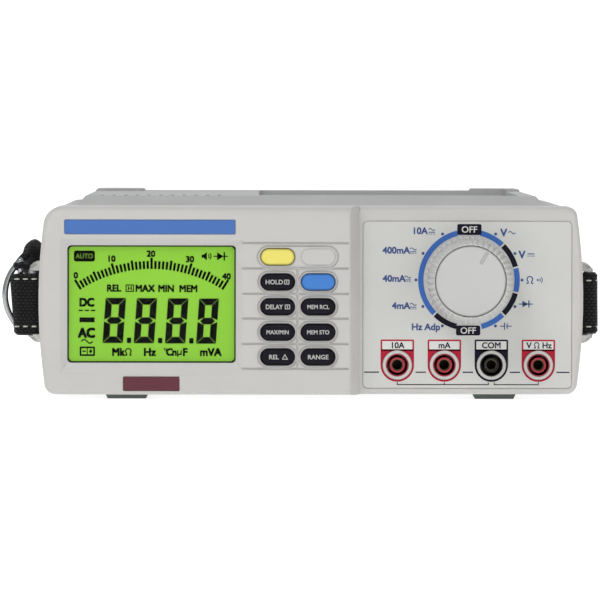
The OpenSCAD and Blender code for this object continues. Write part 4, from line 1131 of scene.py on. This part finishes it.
def tab_stations():
    """Left tab: webbing round the pin and the straight bar of the ring."""
    stations = [upright(TAB_X + 2.6, PIN_Y + LOOP_RADIUS - 0.15, TAB_Z, width=24.9)]
    for angle in range(90, 271, 22):
        c, s = polar(angle)
        stations.append(upright(TAB_X + (LOOP_RADIUS - 0.3) * c, PIN_Y + LOOP_RADIUS * s,
                                TAB_Z, lean=(-0.08, 0),
                                width=24.9 if 120 < angle < 240 else WEB_WIDTH))
    stations.append(upright((TAB_X - PIN_X) / 2, PIN_Y - LOOP_RADIUS + 0.1, TAB_Z,
                            width=25.3))
    for angle in range(270, 451, 22):
        c, s = polar(angle)
        stations.append(upright(-PIN_X + LOOP_RADIUS * c, PIN_Y + LOOP_RADIUS * s, TAB_Z,
                                width=25.3))
    stations.append(upright(TAB_X + 3.2, PIN_Y + LOOP_RADIUS + 0.55, TAB_Z, width=25.0))
    return stations


def add_stitch(bm, start, end, out):
    """Rounded thread, arched along out, that dips into the webbing at both ends."""
    radius, lift, sink = 0.32, 0.30, 0.14
    start, end, out = Vector(start), Vector(end), Vector(out).normalized()
    side = (end - start).normalized().cross(out).normalized()
    rows = []
    for i in range(9):
        t = i / 8
        arch = math.sin(math.pi * t)
        centre = start.lerp(end, t) + out * (lift * arch ** 0.6 - sink)
        thick = radius * (0.72 + 0.28 * arch) * (1 + 0.10 * math.sin(t * 26))
        row = []
        for k in range(8):
            angle = 2 * math.pi * k / 8
            row.append(bm.verts.new(place(*(centre + side * thick * math.cos(angle)
                                            + out * thick * 0.75 * math.sin(angle)))))
        rows.append(row)
    for a, b in zip(rows, rows[1:]):
        for k in range(8):
            j = (k + 1) % 8
            bm.faces.new((a[k], b[k], b[j], a[j])).smooth = True
    bm.faces.new(rows[0])
    bm.faces.new(rows[-1][::-1])


def build_stitches():
    bm = bmesh.new()
    front_y = PIN_Y - LOOP_RADIUS - 0.97
    forward = (0, -1, 0)
    # Left tab, top and bottom rows: x, then how far each end lies behind front_y
    for z in (LUG_Z + 9.5, LUG_Z - 9.9):
        for x, start, end in ((-121.2, 0.35, 0.0), (-117.7, 0.12, 0.10),
                              (-114.2, 0.12, 0.10)):
            add_stitch(bm, (x, front_y + start, z), (x + 2.1, front_y + end, z + 0.05),
                       forward)
    # Right loop: front, outer bend and outer side
    for z in (LUG_Z + 9.3, LUG_Z - 9.6):
        add_stitch(bm, (PIN_X - 1.0, front_y + 0.10, z), (PIN_X + 1.1, front_y + 0.16, z),
                   forward)
        add_stitch(bm, (PIN_X + 3.05, PIN_Y - 2.55, z), (PIN_X + 3.85, PIN_Y - 0.6, z),
                   (0.85, -0.5, 0))
        for run in (0.0, 4.0, 8.0):
            y = 49.6 + run
            add_stitch(bm, (PIN_X + 1.55 - 0.18 * run, y, z),
                       (PIN_X + 1.25 - 0.18 * run * 0.9, y + 2.1, z), (1, 0.2, 0))
    # Upright row across the turned-back end
    for z in (30.0, 34.5, 39.0, 43.5):
        add_stitch(bm, (PIN_X + 0.72, 61.2, z), (PIN_X + 0.72, 61.2, z + 2.4), (1, 0, 0))
    bmesh.ops.recalc_face_normals(bm, faces=bm.faces)
    obj = build_object("strap_stitches", bm, INKS["thread"])
    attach(obj, "case")


strap = build_ribbon("strap_webbing", strap_stations(), step=1.2, wave=0.10)
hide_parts("carry_strap")
build_ribbon("strap_tab", tab_stations(), step=0.8, wave=0.06, seed=1.3)
build_stitches()


# --------------------------------------------------------------- selector knob
def build_knob():
    """Fluted grip: scallops run down a sloping shoulder and along the side."""
    low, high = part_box("selector_knob")
    front = (low.y - FACE_Y) * 1000
    back = (high.y - FACE_Y) * 1000
    side = (high.x - low.x) * 500
    x = ((low.x + high.x) / 2 - CENTRE_X) * 1000
    z = (low.z + high.z) * 500
    flutes, flute_steps = 44, 12
    scallop, shoulder_drop, shoulder_radius = 1.3, 0.9, 17.3
    # radius, y, share of the scallop's depth
    profile = (
        (14.42, front + 1.4, 0), (14.42, front + 0.12, 0), (14.62, front, 0),
        (14.8, front, 0.06), (15.0, front + 0.04, 0.30), (15.3, front + 0.14, 0.55),
        (15.75, front + 0.42, 0.75), (16.25, front + 0.85, 0.86),
        (16.8, front + 1.5, 0.93), (17.2, front + 2.4, 0.95), (17.45, front + 3.4, 1.0),
        (side - 0.12, front + 5.0, 1.0), (side - 0.05, front + 8.0, 1.0),
        (side, front + 11.0, 1.0), (side, front + 15.0, 1.0), (side, back - 1.6, 1.0),
        (side, back - 1.3, 0.5), (side, back - 1.1, 0.0), (side, back - 0.3, 0.0),
        (side - 0.3, back, 0.0), (side - 1.8, back, 0.0), (side - 1.8, back - 3, 0.0))
    bm = bmesh.new()
    around = flutes * flute_steps
    rows = []
    for radius, y, share in profile:
        drop = shoulder_drop if radius < shoulder_radius else 0
        row = []
        for i in range(around):
            angle = 2 * math.pi * i / around
            phase = (i % flute_steps) / flute_steps
            scoop = share * max(0.0, math.sin(math.pi * phase)) ** 0.9
            reach = radius - scallop * scoop
            row.append(bm.verts.new(place(x + reach * math.sin(angle), y + drop * scoop,
                                          z + reach * math.cos(angle))))
        rows.append(row)
    for a, b in zip(rows, rows[1:]):
        for i in range(around):
            j = (i + 1) % around
            bm.faces.new((a[i], a[j], b[j], b[i])).smooth = True
    bmesh.ops.recalc_face_normals(bm, faces=bm.faces)
    obj = build_object("knob_grip", bm, MATERIALS["knob"])
    split = obj.modifiers.new("split", "EDGE_SPLIT")
    split.split_angle = math.radians(50)
    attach(obj, "dial")
    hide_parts("selector_knob")


build_knob()

# --------------------------------------------------------------- softened edges
# Bevel widths in metres
EDGE_WIDTHS = {
    "front_bezel": 0.00035, "title_strip": 0.0001, "badge_plate": 0.0001,
    "top_cover": 0.0005, "bottom_cover": 0.0005, "rear_panel": 0.0003,
    "battery_door": 0.0003, "mains_inlet": 0.0003, "fuse_drawer": 0.0002,
    "serial_port": 0.00015, "front_feet": 0.0002, "rear_feet": 0.0005,
    "tilt_leg_left": 0.0003, "tilt_leg_right": 0.0003, "knob_cap": 0.0001,
}
BUTTON_EDGE = 0.00045


def soften_edges():
    """Bevels the listed pieces and the buttons; the rest get split sharp edges."""
    for name, obj in NODES.items():
        width = BUTTON_EDGE if name.startswith("button_") else EDGE_WIDTHS.get(name)
        for face in obj.data.polygons:
            face.use_smooth = True
        if width:
            bevel = obj.modifiers.new("soften", "BEVEL")
            bevel.width = width
            bevel.segments = 3
            bevel.limit_method = "ANGLE"
            bevel.angle_limit = math.radians(38)
            normals = obj.modifiers.new("normals", "WEIGHTED_NORMAL")
            normals.keep_sharp = True
        else:
            split = obj.modifiers.new("split", "EDGE_SPLIT")
            split.split_angle = math.radians(32)


soften_edges()


# --------------------------------------------------------------- floor, light, camera
def floor_material():
    shader = Shader("floor")
    patches = shader.noise(shader.coords("Object"), scale=3, detail=3)
    colour = shader.mix(shader.ramp(patches, (0.3, 0), (0.7, 1)),
                        (0.90, 0.90, 0.90, 1), (0.93, 0.93, 0.93, 1))
    # Bright to the camera, dimmer as a lamp, so the underside keeps its shade
    seen = shader.node("LightPath").outputs["Is Camera Ray"]
    shader.finish({
        "Base Color": colour,
        "Roughness": 0.7,
        "Emission Color": (1, 1, 1, 1),
        "Emission Strength": shader.ramp(seen, (0.0, 0.38), (1.0, 0.72)),
    })
    # Clear from below, so the underside can be looked at
    clear = shader.node("BsdfTransparent")
    below = shader.node("NewGeometry").outputs["Backfacing"]
    sided = shader.node("MixShader", {0: below, 1: shader.surface.outputs[0],
                                      2: clear.outputs[0]})
    shader.feed(shader.output, {0: sided.outputs[0]})
    return shader.material


def build_floor():
    """A sheet that runs flat under the object and curves up behind it (metres)."""
    half_width, bend_start, bend_radius = 5, 4.2, 1.2
    profile = [(-5.0, 0.0), (bend_start, 0.0)]      # y, z
    for angle in range(10, 91, 10):
        c, s = polar(angle)
        profile.append((bend_start + bend_radius * s, bend_radius * (1 - c)))
    profile.append((bend_start + bend_radius, 5.0))
    bm = bmesh.new()
    left, right = [[bm.verts.new((x, y, z)) for y, z in profile]
                   for x in (-half_width, half_width)]
    for k in range(len(profile) - 1):
        bm.faces.new((left[k], right[k], right[k + 1], left[k + 1])).smooth = True
    build_object("floor", bm, floor_material())


def build_world():
    world = bpy.data.worlds.new("studio")
    bpy.context.scene.world = world
    world.use_nodes = True
    background = world.node_tree.nodes["Background"]
    background.inputs["Color"].default_value = (1.0, 1.0, 1.0, 1)
    background.inputs["Strength"].default_value = 0.40


def look_from(location, target):
    return (Vector(target) - Vector(location)).to_track_quat("-Z", "Y")


def add_light(name, location, target, width, height, power):
    light = bpy.data.lights.new(name, "AREA")
    light.energy = power
    light.shape = "RECTANGLE"
    light.size = width
    light.size_y = height
    obj = bpy.data.objects.new(name, light)
    bpy.context.scene.collection.objects.link(obj)
    obj.location = location
    obj.rotation_euler = look_from(location, target).to_euler()


def add_camera():
    lens = bpy.data.cameras.new("camera")
    camera = bpy.data.objects.new("camera", lens)
    bpy.context.scene.collection.objects.link(camera)
    location = place(-21, -2500, 116)
    target = place(-4.6, 0, 41.35)
    roll = Quaternion((0, 0, 1), math.radians(0.10))
    camera.location = location
    camera.rotation_mode = "QUATERNION"
    camera.rotation_quaternion = look_from(location, target) @ roll
    lens.sensor_width = 36
    lens.lens = 372.8
    lens.clip_start = 0.1
    lens.clip_end = 40
    bpy.context.scene.camera = camera


build_floor()
build_world()
BODY_MIDDLE = (0, 0, 0.04)
add_light("key", location=(-0.55, -1.0, 1.15), target=BODY_MIDDLE,
          width=0.8, height=0.6, power=7.8)
add_light("fill", location=(0.95, -1.1, 0.45), target=BODY_MIDDLE,
          width=0.9, height=0.7, power=2.4)
add_light("rear", location=(0.2, 1.0, 1.0), target=(0, 0.1, 0.06),
          width=0.9, height=0.5, power=1.6)
add_camera()
bpy.context.scene.view_settings.view_transform = "Standard"
bpy.context.scene.view_settings.look = "None"
